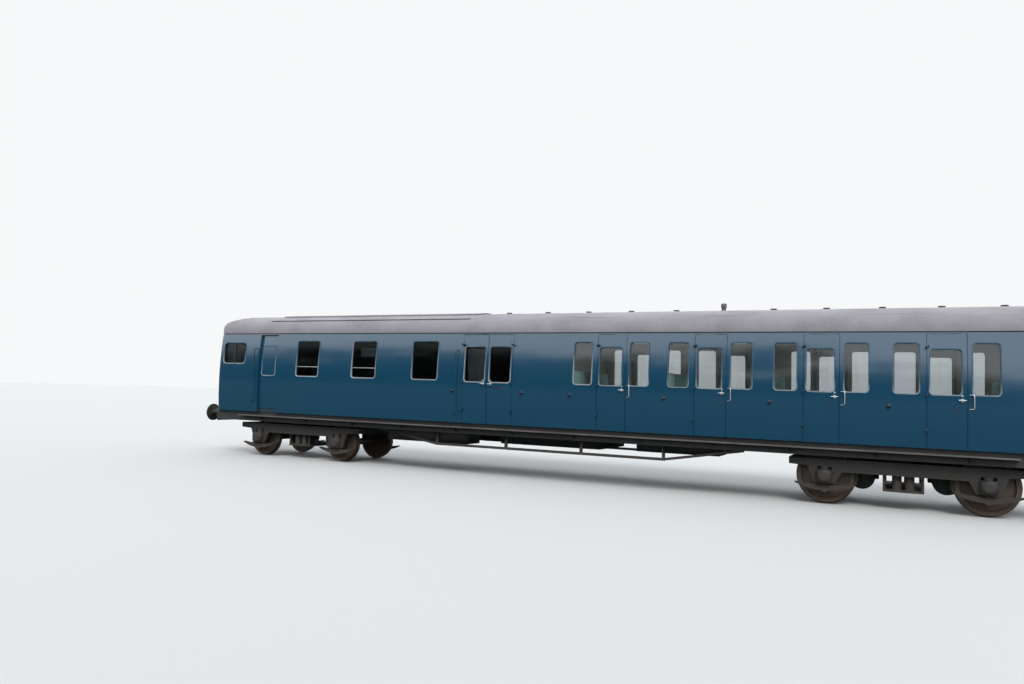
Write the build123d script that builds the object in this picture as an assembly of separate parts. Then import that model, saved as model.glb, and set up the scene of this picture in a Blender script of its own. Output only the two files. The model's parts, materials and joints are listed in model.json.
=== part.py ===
from build123d import *
from math import acos, atan2, cos, hypot, pi, sin, sqrt
import os

os.makedirs("parts", exist_ok=True)

# A slam-door motor coach with a driving cab, engine room, luggage van and open saloon.
# It stands at Z = 0 on the tips of its wheel flanges, with X along it and the cab at -X.
# The left side, seen by a driver who looks out of the cab, is at -Y. Sizes are millimetres.

# Track and wheels
flange_depth = 29.0
rail_height = flange_depth
back_to_back = 1360.0
tyre_width = 137.0
flange_width = 32.0
flange_crest = 19.0
tyre_depth = 70.0
hub_radius = 125.0
hub_length = 190.0
web_thickness = 32.0
web_dish = 26.0
axle_radius = 85.0
journal_radius = 62.0
journal_length = 190.0
journal_centre = 1000.0

# Body heights above the rail, and half widths at them
sill_above_rail = 1150.0
waist_above_rail = 2000.0
gutter_above_rail = 3230.0
sill_half_width = 1325.0
waist_half_width = 1372.0
gutter_half_width = 1290.0
sill_height = rail_height + sill_above_rail
waist_height = rail_height + waist_above_rail
gutter_height = rail_height + gutter_above_rail

# Body shell
body_length = 19500.0
plan_margin = 5.0
crown_rise = 550.0
roof_foot_inset = 8.0
crown_radius = 2600.0
shoulder_radius = 450.0
wall = 60.0
end_thickness = 60.0
roof_thickness = 45.0
cantrail_depth = 47.0
gutter_reach = 22.0
gutter_lip = 14.0
floor_thickness = 80.0
bulkhead_thickness = 40.0

# Clearances
seat_gap = 0.3
door_gap = 8.0
pane_gap = 0.3
running_gap = 6.0

# Ends
buffer_reach = 560.0
coupling_reach = 360.0
overall_length = body_length + buffer_reach + coupling_reach
cab_end = buffer_reach - overall_length / 2
inner_end = cab_end + body_length

# Cab end: a front bowed in plan with rounded corners, under a domed roof end
nose_bow_radius = 13000.0
nose_corner_radius = 130.0
nose_return = 215.0
dome_radius = 450.0
dome_length = 1320.0

# Doors
door_skin = 12.0
door_depth = 45.0
closing_rebate = 25.0
hinge_stand_off = 27.0
hinge_radius = 11.0
hinge_lug_height = 22.0
hinge_lug_width = 34.0
door_head_gap = 8.0
door_top = gutter_height - cantrail_depth - door_head_gap
passenger_hinge_offset = 290.0
passenger_lock_offset = 330.0
van_door_centre = 8390.0
van_leaf_width = 625.0
van_leaf_gap = 12.0
cab_door_centre = 1820.0
cab_door_width = 600.0
cab_door_lap = 30.0
cab_door_set_back = wall + 6.0
cab_door_thickness = 40.0
cab_door_floor_gap = 10.0

# Bulkheads, from the cab end
cab_bulkhead = 2330.0
engine_bulkhead = 5900.0
van_bulkhead = 10240.0

# Saloon bays
bay_length = 2059.0
bulkhead_seat_gap = 10.5
last_bay_least = 700.0
first_door = van_bulkhead + bulkhead_thickness + bulkhead_seat_gap + bay_length / 2
bay_room = body_length - end_thickness - last_bay_least - (first_door - bay_length / 2)
bay_count = int(bay_room / bay_length)

# Windows: edges above the rail, corners and panes
window_corner = 60.0
pane_depth = 26.0
pane_thickness = 6.0
door_window_foot = 2100.0
door_window_head = 2901.0
door_window_width = 490.0
van_window_width = 530.0
van_window_centre = 308.0
engine_window_foot = 2122.0
engine_window_head = 3018.0
engine_window_width = 710.0
quarterlight_foot = 2108.0
quarterlight_head = 3009.0
quarterlight_width = 410.0
quarterlight_offset = 620.0
cab_window_foot = 2422.0
cab_window_head = 2967.0
cab_window_width = 776.0
cab_window_centre = 645.0
cab_window_corner = 40.0
windscreen_foot = 2300.0
windscreen_head = 2980.0
windscreen_width = 720.0
windscreen_centre = 700.0

# Underframe and running gear
solebar_depth = 250.0
solebar_face = 1235.0
solebar_flange = 90.0
solebar_web = 16.0
bogie_centre_distance = 14170.0
bogie_bolster_gap = 10.0
pivot_radius = 60.0
pivot_length = 150.0


def circle_through(a, b, c):
    # Centre and radius of the circle through three points of a plane.
    d = 2 * (a[0] * (b[1] - c[1]) + b[0] * (c[1] - a[1]) + c[0] * (a[1] - b[1]))
    sa = a[0] ** 2 + a[1] ** 2
    sb = b[0] ** 2 + b[1] ** 2
    sc = c[0] ** 2 + c[1] ** 2
    u = (sa * (b[1] - c[1]) + sb * (c[1] - a[1]) + sc * (a[1] - b[1])) / d
    v = (sa * (c[0] - b[0]) + sb * (a[0] - c[0]) + sc * (b[0] - a[0])) / d
    return u, v, hypot(a[0] - u, a[1] - v)


side_centre_y, side_centre_z, side_radius = circle_through(
    (sill_half_width, sill_height),
    (waist_half_width, waist_height),
    (gutter_half_width, gutter_height),
)


def side_y(z, depth=0.0):
    # Half width of the body at a height, a depth in from the outer skin.
    return side_centre_y + sqrt((side_radius - depth) ** 2 - (z - side_centre_z) ** 2)


def face_of(edges):
    return Face(Wire(edges))


def polygon_xz(points):
    # Flat face at Y = 0 from a closed list of X, Z points.
    return face_of(Polyline([(x, 0, z) for x, z in points], close=True).edges())


def along_x(face, x0, x1):
    return extrude(Pos(x0, 0, 0) * face, x1 - x0, dir=(1, 0, 0))


def along_y(face, y0, y1):
    return extrude(Pos(0, y0, 0) * face, y1 - y0, dir=(0, 1, 0))


def block(x0, x1, y0, y1, z0, z1):
    size = Box(abs(x1 - x0), abs(y1 - y0), abs(z1 - z0))
    return Pos((x0 + x1) / 2, (y0 + y1) / 2, (z0 + z1) / 2) * size


def lying(x0, x1, y, z, radius):
    # Cylinder along X.
    return Pos((x0 + x1) / 2, y, z) * Rot(0, 90, 0) * Cylinder(radius, x1 - x0)


def across(x, z, y0, y1, radius):
    # Cylinder along Y.
    return Pos(x, (y0 + y1) / 2, z) * Rot(90, 0, 0) * Cylinder(radius, y1 - y0)


def upright(x, y, z0, z1, radius):
    # Cylinder along Z.
    return Pos(x, y, (z0 + z1) / 2) * Cylinder(radius, z1 - z0)


def side_band(x0, x1, z0, z1, depth0, depth1):
    # Stretch of the right-hand body side between two depths under its skin.
    zm = (z0 + z1) / 2
    outer = ThreePointArc(
        (0, side_y(z0, depth0), z0), (0, side_y(zm, depth0), zm), (0, side_y(z1, depth0), z1)
    )
    inner = ThreePointArc(
        (0, side_y(z1, depth1), z1), (0, side_y(zm, depth1), zm), (0, side_y(z0, depth1), z0)
    )
    edges = [outer, Line(outer @ 1, inner @ 0), inner, Line(inner @ 1, outer @ 0)]
    return along_x(face_of(edges), min(x0, x1), max(x0, x1))


def on_side(shape, side):
    # Sides are modelled on the right, at +Y, and mirrored for the left.
    return shape if side == "right" else mirror(shape, about=Plane.XZ)


def both_sides(shape):
    return [shape, on_side(shape, "left")]


def window_prism(x, width, z0, z1, corner, gap=0.0):
    # Rounded rectangle pushed through the right-hand body side.
    outline = RectangleRounded(width - 2 * gap, z1 - z0 - 2 * gap, corner - gap)
    placed = Plane.XZ * outline
    return Pos(x, 0, (z0 + z1) / 2) * extrude(placed, amount=-1.2 * waist_half_width)


# Roof in cross-section: a crown arc tangent to a tighter shoulder arc that ends at the gutter.
roof_foot = gutter_half_width - roof_foot_inset
crown_height = gutter_height + crown_rise
crown_centre_z = crown_height - crown_radius
foot_reach = hypot(roof_foot, gutter_height - crown_centre_z)
centre_reach = crown_radius - shoulder_radius
foot_angle = atan2(roof_foot, gutter_height - crown_centre_z)
spread = acos(
    (foot_reach**2 + centre_reach**2 - shoulder_radius**2) / (2 * foot_reach * centre_reach)
)
shoulder_angle = foot_angle - spread
shoulder_y = centre_reach * sin(shoulder_angle)
shoulder_z = crown_centre_z + centre_reach * cos(shoulder_angle)


def crown_point(angle, depth=0.0):
    r = crown_radius - depth
    return (0, r * sin(angle), crown_centre_z + r * cos(angle))


def roof_foot_point(depth=0.0):
    r = shoulder_radius - depth
    return (0, shoulder_y + sqrt(r**2 - (gutter_height - shoulder_z) ** 2), gutter_height)


def shoulder_arc(depth=0.0):
    # From the gutter up to where the shoulder meets the crown.
    foot = roof_foot_point(depth)
    start = atan2(foot[1] - shoulder_y, foot[2] - shoulder_z)
    middle = (start + shoulder_angle) / 2
    r = shoulder_radius - depth
    middle_point = (0, shoulder_y + r * sin(middle), shoulder_z + r * cos(middle))
    return ThreePointArc(foot, middle_point, crown_point(shoulder_angle, depth))


def crown_band(x0, x1, angle0, angle1, depth0, depth1):
    # Stretch of the crown between two angles from the centre line and two depths.
    middle = (angle0 + angle1) / 2
    outer = ThreePointArc(*[crown_point(a, depth0) for a in (angle0, middle, angle1)])
    inner = ThreePointArc(*[crown_point(a, depth1) for a in (angle1, middle, angle0)])
    edges = [outer, Line(outer @ 1, inner @ 0), inner, Line(inner @ 1, outer @ 0)]
    return along_x(face_of(edges), x0, x1)


def roof_shoulder_strip(x0, x1, depth0, depth1):
    outer = shoulder_arc(depth0)
    inner = shoulder_arc(depth1)
    edges = [outer, Line(outer @ 1, inner @ 1), inner, Line(inner @ 0, outer @ 0)]
    return along_x(face_of(edges), x0, x1)


def mirrored_face(right, base):
    # Face from the edges of a right-hand half outline, its mirror image and a closing base line.
    right_edges = [half for edge in right for half in edge.edges()]
    left_edges = [half for edge in right for half in mirror(edge, about=Plane.XZ).edges()]
    return face_of([*base.edges(), *right_edges, *left_edges])


def roof_outline(depth):
    # The shoulder and half the crown, from the gutter to the centre line.
    half_crown = ThreePointArc(*[crown_point(a, depth) for a in (shoulder_angle, shoulder_angle / 2, 0)])
    return [shoulder_arc(depth), half_crown]


def body_section(side_depth, roof_depth, z0):
    # Whole cross-section of the body above a height, drawn in by two depths.
    zm = (z0 + gutter_height) / 2
    side = ThreePointArc(*[(0, side_y(z, side_depth), z) for z in (z0, zm, gutter_height)])
    ledge = Line(side @ 1, roof_foot_point(roof_depth))
    base = Line((0, side_y(z0, side_depth), z0), (0, -side_y(z0, side_depth), z0))
    return mirrored_face([side, ledge, *roof_outline(roof_depth)], base)


def roof_section(depth):
    # Cross-section of the roof space above the gutter, drawn in by a depth.
    foot = roof_foot_point(depth)
    return mirrored_face(roof_outline(depth), Line((0, -foot[1], foot[2]), foot))


def rounded_front(solid, depth, corner, z0, z1, reach):
    # Cuts the bow of the front into a solid that starts at the cab end, and rounds its two corners.
    middle = (z0 + z1) / 2
    bow = Pos(cab_end + nose_bow_radius, 0, middle) * Cylinder(nose_bow_radius - depth, 2 * (z1 - z0))
    bowed = solid & bow
    corners = bowed.edges().filter_by(
        lambda edge: edge.length > 0.9 * (z1 - z0)
        and edge.center().X < cab_end + reach / 2
        and abs(edge.center().Y) > roof_foot / 2
    )
    return fillet(corners, corner - depth)


def nose_body(depth, z0, z1, reach):
    # Solid cab end below the gutter, drawn in by a depth from the outer skin.
    zm = (z0 + z1) / 2
    right = ThreePointArc(*[(0, side_y(z, depth), z) for z in (z0, zm, z1)])
    left = ThreePointArc(*[(0, -side_y(z, depth), z) for z in (z1, zm, z0)])
    edges = [right, Line(right @ 1, left @ 0), left, Line(left @ 1, right @ 0)]
    solid = along_x(face_of(edges), cab_end, cab_end + reach)
    return rounded_front(solid, depth, nose_corner_radius, z0, z1, reach)


def nose_roof(depth, reach):
    # Solid cab end above the gutter: the roof turned down over a quarter circle.
    z0 = gutter_height - gutter_lip
    z1 = crown_height + crown_rise
    x0 = cab_end + depth
    x1 = cab_end + dome_radius
    spring = crown_height - dome_radius
    r = dome_radius - depth
    arc = ThreePointArc(
        (x0, 0, spring), (x1 - r * cos(pi / 4), 0, spring + r * sin(pi / 4)), (x1, 0, spring + r)
    )
    far = cab_end + reach
    walls = Polyline((x1, 0, spring + r), (x1, 0, z1), (far, 0, z1), (far, 0, z0), (x0, 0, z0), (x0, 0, spring))
    profile = extrude(face_of([*arc.edges(), *walls.edges()]), 2 * roof_foot, dir=(0, 1, 0), both=True)
    half = roof_foot + plan_margin - depth
    plan = rounded_front(
        block(cab_end, far, -half, half, z0, z1), depth, nose_corner_radius - roof_foot_inset, z0, z1, reach
    )
    return along_x(roof_section(depth), cab_end, far) & profile & plan


def save(name, shapes):
    solids = []
    for shape in shapes:
        solids.extend(shape.solids())
    export_step(Compound(children=solids) if len(solids) > 1 else solids[0], f"parts/{name}.step")


# Doors. Columns: name, kind, hinge edge and lock edge along X, side.
doors = []
for side in ("left", "right"):
    turn = 1 if side == "left" else -1
    for number in range(bay_count):
        centre = cab_end + first_door + number * bay_length
        hinge_x = centre - turn * passenger_hinge_offset
        lock_x = centre + turn * passenger_lock_offset
        doors.append((f"passenger_door_{side}_{number + 1}", "passenger", hinge_x, lock_x, side))
    van_centre = cab_end + van_door_centre
    for end, way in (("front", -1), ("rear", 1)):
        hinge_x = van_centre + way * (van_leaf_width + van_leaf_gap / 2)
        lock_x = van_centre + way * van_leaf_gap / 2
        doors.append((f"van_door_{side}_{end}", "van", hinge_x, lock_x, side))
    cab_door_x = cab_end + cab_door_centre
    cab_door_half = cab_door_width / 2 + cab_door_lap
    doors.append((f"cab_door_{side}", "cab", cab_door_x + cab_door_half, cab_door_x - cab_door_half, side))

# Windows cut in a door kind. Columns: kind, centre, width, lower edge, upper edge. The centre is
# measured from the hinge edge towards the lock.
door_windows = {
    "passenger": (
        passenger_hinge_offset, door_window_width, rail_height + door_window_foot, rail_height + door_window_head
    ),
    "van": (van_window_centre, van_window_width, rail_height + door_window_foot, rail_height + door_window_head),
}

# Fixed windows. Columns: centre from the cab end, width, lower edge, upper edge, corner radius.
engine_window_centres = (3175.0, 4944.0, 6717.0)
fixed_windows = [
    (
        cab_window_centre,
        cab_window_width,
        rail_height + cab_window_foot,
        rail_height + cab_window_head,
        cab_window_corner,
    )
]
for centre in engine_window_centres:
    fixed_windows.append(
        (
            centre,
            engine_window_width,
            rail_height + engine_window_foot,
            rail_height + engine_window_head,
            window_corner,
        )
    )
for number in range(bay_count):
    for way in (-1, 1):
        fixed_windows.append(
            (
                first_door + number * bay_length + way * quarterlight_offset,
                quarterlight_width,
                rail_height + quarterlight_foot,
                rail_height + quarterlight_head,
                window_corner,
            )
        )

# Heights of the hinges above the rail
hinges_above_rail = (1470.0, 2100.0, 2950.0)
hinge_heights = [rail_height + height for height in hinges_above_rail]
hinge_y = waist_half_width + hinge_stand_off
cab_hinge_x = cab_end + cab_door_centre + cab_door_width / 2 + cab_door_lap
cab_hinge_y = side_y(door_top, cab_door_set_back + cab_door_thickness) - hinge_radius

# Door handles: a round plate, a spindle and a bar. Columns: kind, distance from the hinge edge,
# height above the rail, angle of the bar from upright.
handle_plate_radius = 32.0
handle_plate_thickness = 7.0
handle_spindle_radius = 10.0
handle_reach = 42.0
handle_bar_radius = 9.0
handle_bar_length = 120.0
handle_bed = 3.0
handle_lock_rise = 78.0
handle_lock_radius = 17.0
handle_lock_reach = 6.0
# Columns: distance from the hinge edge, height above the rail
door_handles = {"passenger": (545.0, 2010.0), "van": (535.0, 2060.0)}
van_lever_length = 330.0
van_lever_slope = 70.0
van_lever_height = 1960.0
door_bumper_radius = 26.0
door_bumper_reach = 14.0
door_bumper_from_hinge = 440.0
door_bumper_height = 1850.0


def door_handle(x, z):
    # Level bar on a spindle and round plate, with a small round lock above it.
    y = side_y(z)
    plate = across(x, z, y - handle_bed, y + handle_plate_thickness, handle_plate_radius)
    spindle = across(x, z, y, y + handle_reach, handle_spindle_radius)
    half = handle_bar_length / 2
    bar = lying(x - half, x + half, y + handle_reach, z, handle_bar_radius)
    lock_y = side_y(z + handle_lock_rise)
    lock = across(x, z + handle_lock_rise, lock_y - handle_bed, lock_y + handle_lock_reach, handle_lock_radius)
    return plate + spindle + bar + lock


def hinge_lug(x, way, z, surface_depth):
    # Lug that carries one knuckle, from the skin out to the hinge line.
    inner = side_y(z + hinge_lug_height, surface_depth) - wall / 4
    lug = block(x, x + way * hinge_lug_width, inner, hinge_y + hinge_radius / 2, z, z + hinge_lug_height)
    return lug + upright(x, hinge_y, z, z + hinge_lug_height, hinge_radius)


def slam_door(kind, hinge_x, lock_x):
    # Outward-opening leaf: an outer skin, and a frame behind it that is set back at the lock.
    way = 1 if lock_x > hinge_x else -1
    skin = side_band(hinge_x, lock_x, sill_height, door_top, 0, door_skin)
    frame = side_band(
        hinge_x, lock_x - way * closing_rebate, sill_height, door_top, door_skin, door_depth
    )
    centre, width, z0, z1 = door_windows[kind]
    leaf = skin + frame - window_prism(hinge_x + way * centre, width, z0, z1, window_corner)
    whole_leaf = side_band(hinge_x, lock_x, sill_height, door_top, 0, door_depth)
    for z in hinge_heights:
        leaf += hinge_lug(hinge_x, way, z, 0) - whole_leaf
    from_hinge, height = door_handles[kind]
    leaf += door_handle(hinge_x + way * from_hinge, rail_height + height)
    return leaf


def van_lever(lock_x, way):
    # Sloping lever that works the bolts of the leaf that closes last.
    z0 = rail_height + van_lever_height
    z1 = z0 + van_lever_slope
    y = side_y(z1) + handle_plate_thickness
    x0 = lock_x - way * handle_plate_radius
    x1 = x0 - way * van_lever_length
    outline = [
        (x0, z1 - handle_bar_radius),
        (x0, z1 + handle_bar_radius),
        (x1, z0 + handle_bar_radius),
        (x1, z0 - handle_bar_radius),
    ]
    lever = along_y(polygon_xz(outline), y, y + handle_bar_radius)
    boss = across(x1, z0, side_y(z0) - handle_bed, y + handle_bar_radius, handle_plate_radius)
    guide = across(x0, z1, side_y(z1) - handle_bed, y + handle_bar_radius, handle_spindle_radius)
    return lever + boss + guide


def body_hinge(hinge_x, way, z):
    lug = hinge_lug(hinge_x, -way, z - hinge_lug_height - seat_gap, 0)
    skin = side_band(
        hinge_x - 2 * hinge_lug_width, hinge_x + 2 * hinge_lug_width, sill_height, door_top, -seat_gap, wall
    )
    return lug - skin


def inward_lug(x0, x1, z, y_outer):
    # Lug of the recessed cab door, on the room side of its leaf. It is fixed at y_outer.
    lug = block(x0, x1, cab_hinge_y - hinge_radius / 2, y_outer, z, z + hinge_lug_height)
    return lug + upright(cab_hinge_x, cab_hinge_y, z, z + hinge_lug_height, hinge_radius)


# The cab door's drop light is plated over with a raised panel.
cab_panel_width = 440.0
cab_panel_foot = 2120.0
cab_panel_head = 2880.0
cab_panel_raise = 5.0
cab_handle_from_lock = 90.0
cab_handle_height = 1990.0


def cab_door(hinge_x, lock_x):
    inner = cab_door_set_back + cab_door_thickness
    foot = sill_height + floor_thickness + cab_door_floor_gap
    leaf = side_band(lock_x, hinge_x, foot, door_top, cab_door_set_back, inner)
    z0 = rail_height + cab_panel_foot
    z1 = rail_height + cab_panel_head
    panel = side_band(
        lock_x,
        hinge_x,
        z0 - window_corner,
        z1 + window_corner,
        cab_door_set_back - cab_panel_raise,
        cab_door_set_back + cab_panel_raise,
    )
    leaf += panel & window_prism((hinge_x + lock_x) / 2, cab_panel_width, z0, z1, window_corner)
    for z in hinge_heights:
        leaf += inward_lug(
            hinge_x - hinge_lug_width, hinge_x, z, side_y(z, cab_door_set_back + cab_door_thickness / 2)
        )
    z = rail_height + cab_handle_height
    y = side_y(z, cab_door_set_back)
    x = lock_x + cab_door_lap + cab_handle_from_lock
    leaf += across(x, z, y - handle_bed, y + handle_plate_thickness, handle_plate_radius)
    leaf += across(x, z, y, y + handle_reach, handle_spindle_radius * 2)
    return leaf


def cab_door_bracket(z):
    lower = z - hinge_lug_height - seat_gap
    y_outer = min(side_y(lower, wall), side_y(z, wall)) - seat_gap
    return inward_lug(cab_hinge_x + hinge_radius / 2, cab_hinge_x + hinge_lug_width, lower, y_outer)


hinge_solids = []
for name, kind, hinge_x, lock_x, side in doors:
    way = 1 if lock_x > hinge_x else -1
    if kind == "cab":
        save(name, [on_side(cab_door(hinge_x, lock_x), side)])
        hinge_solids.extend(on_side(cab_door_bracket(z), side) for z in hinge_heights)
        continue
    leaf = slam_door(kind, hinge_x, lock_x)
    if name.endswith("rear"):
        leaf += van_lever(lock_x, way)
    if kind == "passenger":
        z = rail_height + door_bumper_height
        x = hinge_x + way * door_bumper_from_hinge
        leaf += across(x, z, side_y(z) - handle_bed, side_y(z) + door_bumper_reach, door_bumper_radius)
    save(name, [on_side(leaf, side)])
    centre, width, z0, z1 = door_windows[kind]
    pane = side_band(hinge_x, lock_x, z0, z1, pane_depth, pane_depth + pane_thickness) & window_prism(
        hinge_x + way * centre, width, z0, z1, window_corner, pane_gap
    )
    save(name.replace("door", "door_glass"), [on_side(pane, side)])
    hinge_solids.extend(on_side(body_hinge(hinge_x, way, z), side) for z in hinge_heights)
save("door_hinges", hinge_solids)

# Body sides: one panel between each two door openings, with its windows cut.
panel_top = gutter_height - cantrail_depth
panel_least = 2 * van_leaf_gap
for side in ("left", "right"):
    openings = []
    for name, kind, hinge_x, lock_x, door_side in doors:
        if door_side == side:
            gap = -cab_door_lap if kind == "cab" else door_gap
            openings.append((min(hinge_x, lock_x) - gap, max(hinge_x, lock_x) + gap))
    openings.sort()
    panels = []
    start = cab_end + nose_return
    for low, high in openings + [(inner_end - end_thickness, inner_end)]:
        if low - start > panel_least:
            panel = side_band(start, low, sill_height, panel_top, 0, wall)
            for x, width, z0, z1, corner in fixed_windows:
                if start < cab_end + x < low:
                    panel -= window_prism(cab_end + x, width, z0, z1, corner)
            panels.append(on_side(panel, side))
        start = high
    save(f"body_side_{side}", panels)

# Round bars on the body: grab handles beside the doors, handrails, and guards inside windows.
# Columns: kind of door, distance from the lock edge, foot and head above the rail, reach, radius,
# and how far the bar stands beyond its feet, away from the door.
grab_bend = 28.0
grab_rails = {
    "passenger": (34.0, 1860.0, 2110.0, 48.0, 9.0, 68.0),
    "cab": (75.0, 1420.0, 2830.0, 52.0, 12.0, 0.0),
}
van_rail_from_hinge = 170.0
van_rail = (1350.0, 2830.0, 45.0, 12.0)
guard_height = 2355.0
guard_windows = engine_window_centres[:2]
guard_radius = 8.0


def body_rail(foot_x, bar_x, foot, head, reach, radius):
    # Upright bar with bent ends that seat on the body side.
    z0 = rail_height + foot
    z1 = rail_height + head
    out = max(side_y(z0), side_y(z1), side_y((z0 + z1) / 2)) + reach
    path = FilletPolyline(
        (foot_x, side_y(z0) - radius, z0),
        (bar_x, out, z0),
        (bar_x, out, z1),
        (foot_x, side_y(z1) - radius, z1),
        radius=grab_bend,
    )
    bar = sweep(Plane(origin=path @ 0, z_dir=path % 0) * Circle(radius), path)
    room = 3 * radius
    low = min(foot_x, bar_x) - room
    high = max(foot_x, bar_x) + room
    return bar - side_band(low, high, z0 - room, z1 + room, -seat_gap, wall)


rails = []
for name, kind, hinge_x, lock_x, side in doors:
    way = 1 if lock_x > hinge_x else -1
    if kind in grab_rails:
        offset, foot, head, reach, radius, crank = grab_rails[kind]
        foot_x = lock_x + way * offset
        rails.append(on_side(body_rail(foot_x, foot_x + way * crank, foot, head, reach, radius), side))
    if name.endswith("front"):
        x = hinge_x - way * van_rail_from_hinge
        rails.append(on_side(body_rail(x, x, *van_rail), side))
for centre in guard_windows:
    half = engine_window_width / 2 - seat_gap
    z = rail_height + guard_height
    y = side_y(z, wall) + guard_radius
    rails.extend(both_sides(lying(cab_end + centre - half, cab_end + centre + half, y, z, guard_radius)))
save("handrails", rails)

# Rubber stops on the body that the open doors come to. Columns: distance from the hinge edge,
# height above the rail, reach and radius.
door_stops = {"passenger": (610.0, 1870.0, 62.0, 24.0), "van": (250.0, 1880.0, 62.0, 24.0)}
stop_plate_radius = 36.0
stop_plate_thickness = 8.0
stops = []
for name, kind, hinge_x, lock_x, side in doors:
    if kind not in door_stops:
        continue
    way = 1 if lock_x > hinge_x else -1
    from_hinge, height, reach, radius = door_stops[kind]
    x = hinge_x - way * from_hinge
    z = rail_height + height
    y = side_y(z)
    stop = across(x, z, y - handle_bed, y + stop_plate_thickness, stop_plate_radius)
    stop += across(x, z, y, y + reach, radius)
    stop -= side_band(x - 2 * radius, x + 2 * radius, z - 2 * radius, z + 2 * radius, -seat_gap, wall)
    stops.append(on_side(stop, side))
save("door_stops", stops)

# Panes of the fixed windows and the windscreens
panes = []
for x, width, z0, z1, corner in fixed_windows:
    pane = side_band(
        cab_end + x - width, cab_end + x + width, z0, z1, pane_depth, pane_depth + pane_thickness
    ) & window_prism(cab_end + x, width, z0, z1, corner, pane_gap)
    panes.extend(both_sides(pane))


def windscreen_prism(way, gap):
    # Rounded rectangle pushed through the front.
    outline = RectangleRounded(
        windscreen_width - 2 * gap, windscreen_head - windscreen_foot - 2 * gap, window_corner - gap
    )
    middle = rail_height + (windscreen_foot + windscreen_head) / 2
    return Pos(cab_end - end_thickness, way * windscreen_centre, middle) * extrude(
        Plane.YZ * outline, amount=4 * end_thickness
    )


bow = Pos(cab_end + nose_bow_radius, 0, waist_height)
sheet_height = 2 * (gutter_height - waist_height)
bowed_sheet = bow * (
    Cylinder(nose_bow_radius - pane_depth, sheet_height)
    - Cylinder(nose_bow_radius - pane_depth - pane_thickness, sheet_height)
)
panes.extend(bowed_sheet & windscreen_prism(way, pane_gap) for way in (-1, 1))
save("fixed_glass", panes)

# Front: a bowed wall that returns along both sides, with a route box and jumper sockets.
route_box_width = 560.0
route_box_height = 330.0
route_box_reach = 34.0
route_box_rim = 30.0
route_box_recess = 18.0
jumper_offset = 420.0
jumper_height = 1600.0
jumper_radius = 62.0
jumper_reach = 70.0
inner_margin = 50.0
front = nose_body(0, sill_height, gutter_height, nose_return) - nose_body(
    end_thickness, sill_height - inner_margin, gutter_height + inner_margin, nose_return + inner_margin
)
for way in (-1, 1):
    front -= windscreen_prism(way, 0.0)
    front += lying(
        cab_end - jumper_reach,
        cab_end + end_thickness / 2,
        way * jumper_offset,
        rail_height + jumper_height,
        jumper_radius,
    )
box_middle = rail_height + (windscreen_foot + windscreen_head) / 2
box_at = Pos(cab_end - route_box_reach, 0, box_middle)
front += box_at * extrude(
    Plane.YZ * RectangleRounded(route_box_width, route_box_height, window_corner),
    amount=route_box_reach + end_thickness / 2,
)
front -= box_at * extrude(
    Plane.YZ
    * RectangleRounded(
        route_box_width - 2 * route_box_rim, route_box_height - 2 * route_box_rim, window_corner - route_box_rim
    ),
    amount=route_box_recess,
)
save("cab_front", [front])

# Cantrails run over the doors for the whole length, each with its gutter lip and drip strips.
drip_reach = 12.0
drip_height = 12.0
drip_overlap = 30.0
cantrail_start = cab_end + nose_return
cantrails = []
for side in ("left", "right"):
    rail = side_band(cantrail_start, inner_end - end_thickness, panel_top, gutter_height, 0, wall)
    rail += block(
        cantrail_start,
        inner_end - end_thickness,
        gutter_half_width - wall / 2,
        gutter_half_width + gutter_reach,
        gutter_height - gutter_lip,
        gutter_height,
    )
    for name, kind, hinge_x, lock_x, door_side in doors:
        if door_side == side and name.endswith("front"):
            way = 1 if lock_x > hinge_x else -1
            rail += block(
                hinge_x - way * drip_overlap,
                lock_x,
                side_y(panel_top) - wall / 2,
                side_y(panel_top) + drip_reach,
                panel_top,
                panel_top + drip_height,
            )
    cantrails.append(on_side(rail, side))
save("cantrails", cantrails)

# Roof: a domed end over the cab, then a crown strip and two shoulder strips, and raised covers
# over the engine room and van that lift off, with a rain strip along each side of them.
cover_start = 1620.0
cover_end = 7720.0
cover_count = 4
cover_joint = 8.0
cover_half_width = 560.0
cover_height = 28.0
rain_strip_width = 16.0
rain_strip_height = 20.0
rain_strip_gap = 20.0
roof_x0 = cab_end + dome_length
roof_x1 = inner_end - end_thickness
shoulder = roof_shoulder_strip(roof_x0, roof_x1, 0, roof_thickness)
crown = crown_band(roof_x0, roof_x1, -shoulder_angle, shoulder_angle, 0, roof_thickness)
dome = nose_roof(0, dome_length) - nose_roof(roof_thickness, dome_length + inner_margin)
covers = []
cover_pitch = (cover_end - cover_start) / cover_count
cover_angle = cover_half_width / crown_radius
for number in range(cover_count):
    x0 = cab_end + cover_start + number * cover_pitch
    covers.append(
        crown_band(x0, x0 + cover_pitch - cover_joint, -cover_angle, cover_angle, -cover_height, -seat_gap)
    )
strip_angle = cover_angle + rain_strip_gap / crown_radius
rain_strip = crown_band(
    cab_end + cover_start,
    cab_end + cover_end,
    strip_angle,
    strip_angle + rain_strip_width / crown_radius,
    -rain_strip_height,
    -seat_gap,
)
save("roof", [dome, crown, *both_sides(shoulder), *covers, *both_sides(rain_strip)])

# Inner end: a flat wall with upright stiffeners
stiffener_offsets = (-900.0, -320.0, 320.0, 900.0)
stiffener_width = 70.0
stiffener_reach = 24.0
end = along_x(body_section(0, 0, sill_height), inner_end - end_thickness, inner_end)
for y in stiffener_offsets:
    end += block(
        inner_end - end_thickness / 2,
        inner_end + stiffener_reach,
        y - stiffener_width / 2,
        y + stiffener_width / 2,
        sill_height,
        gutter_height,
    )
save("end_wall", [end])

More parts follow.
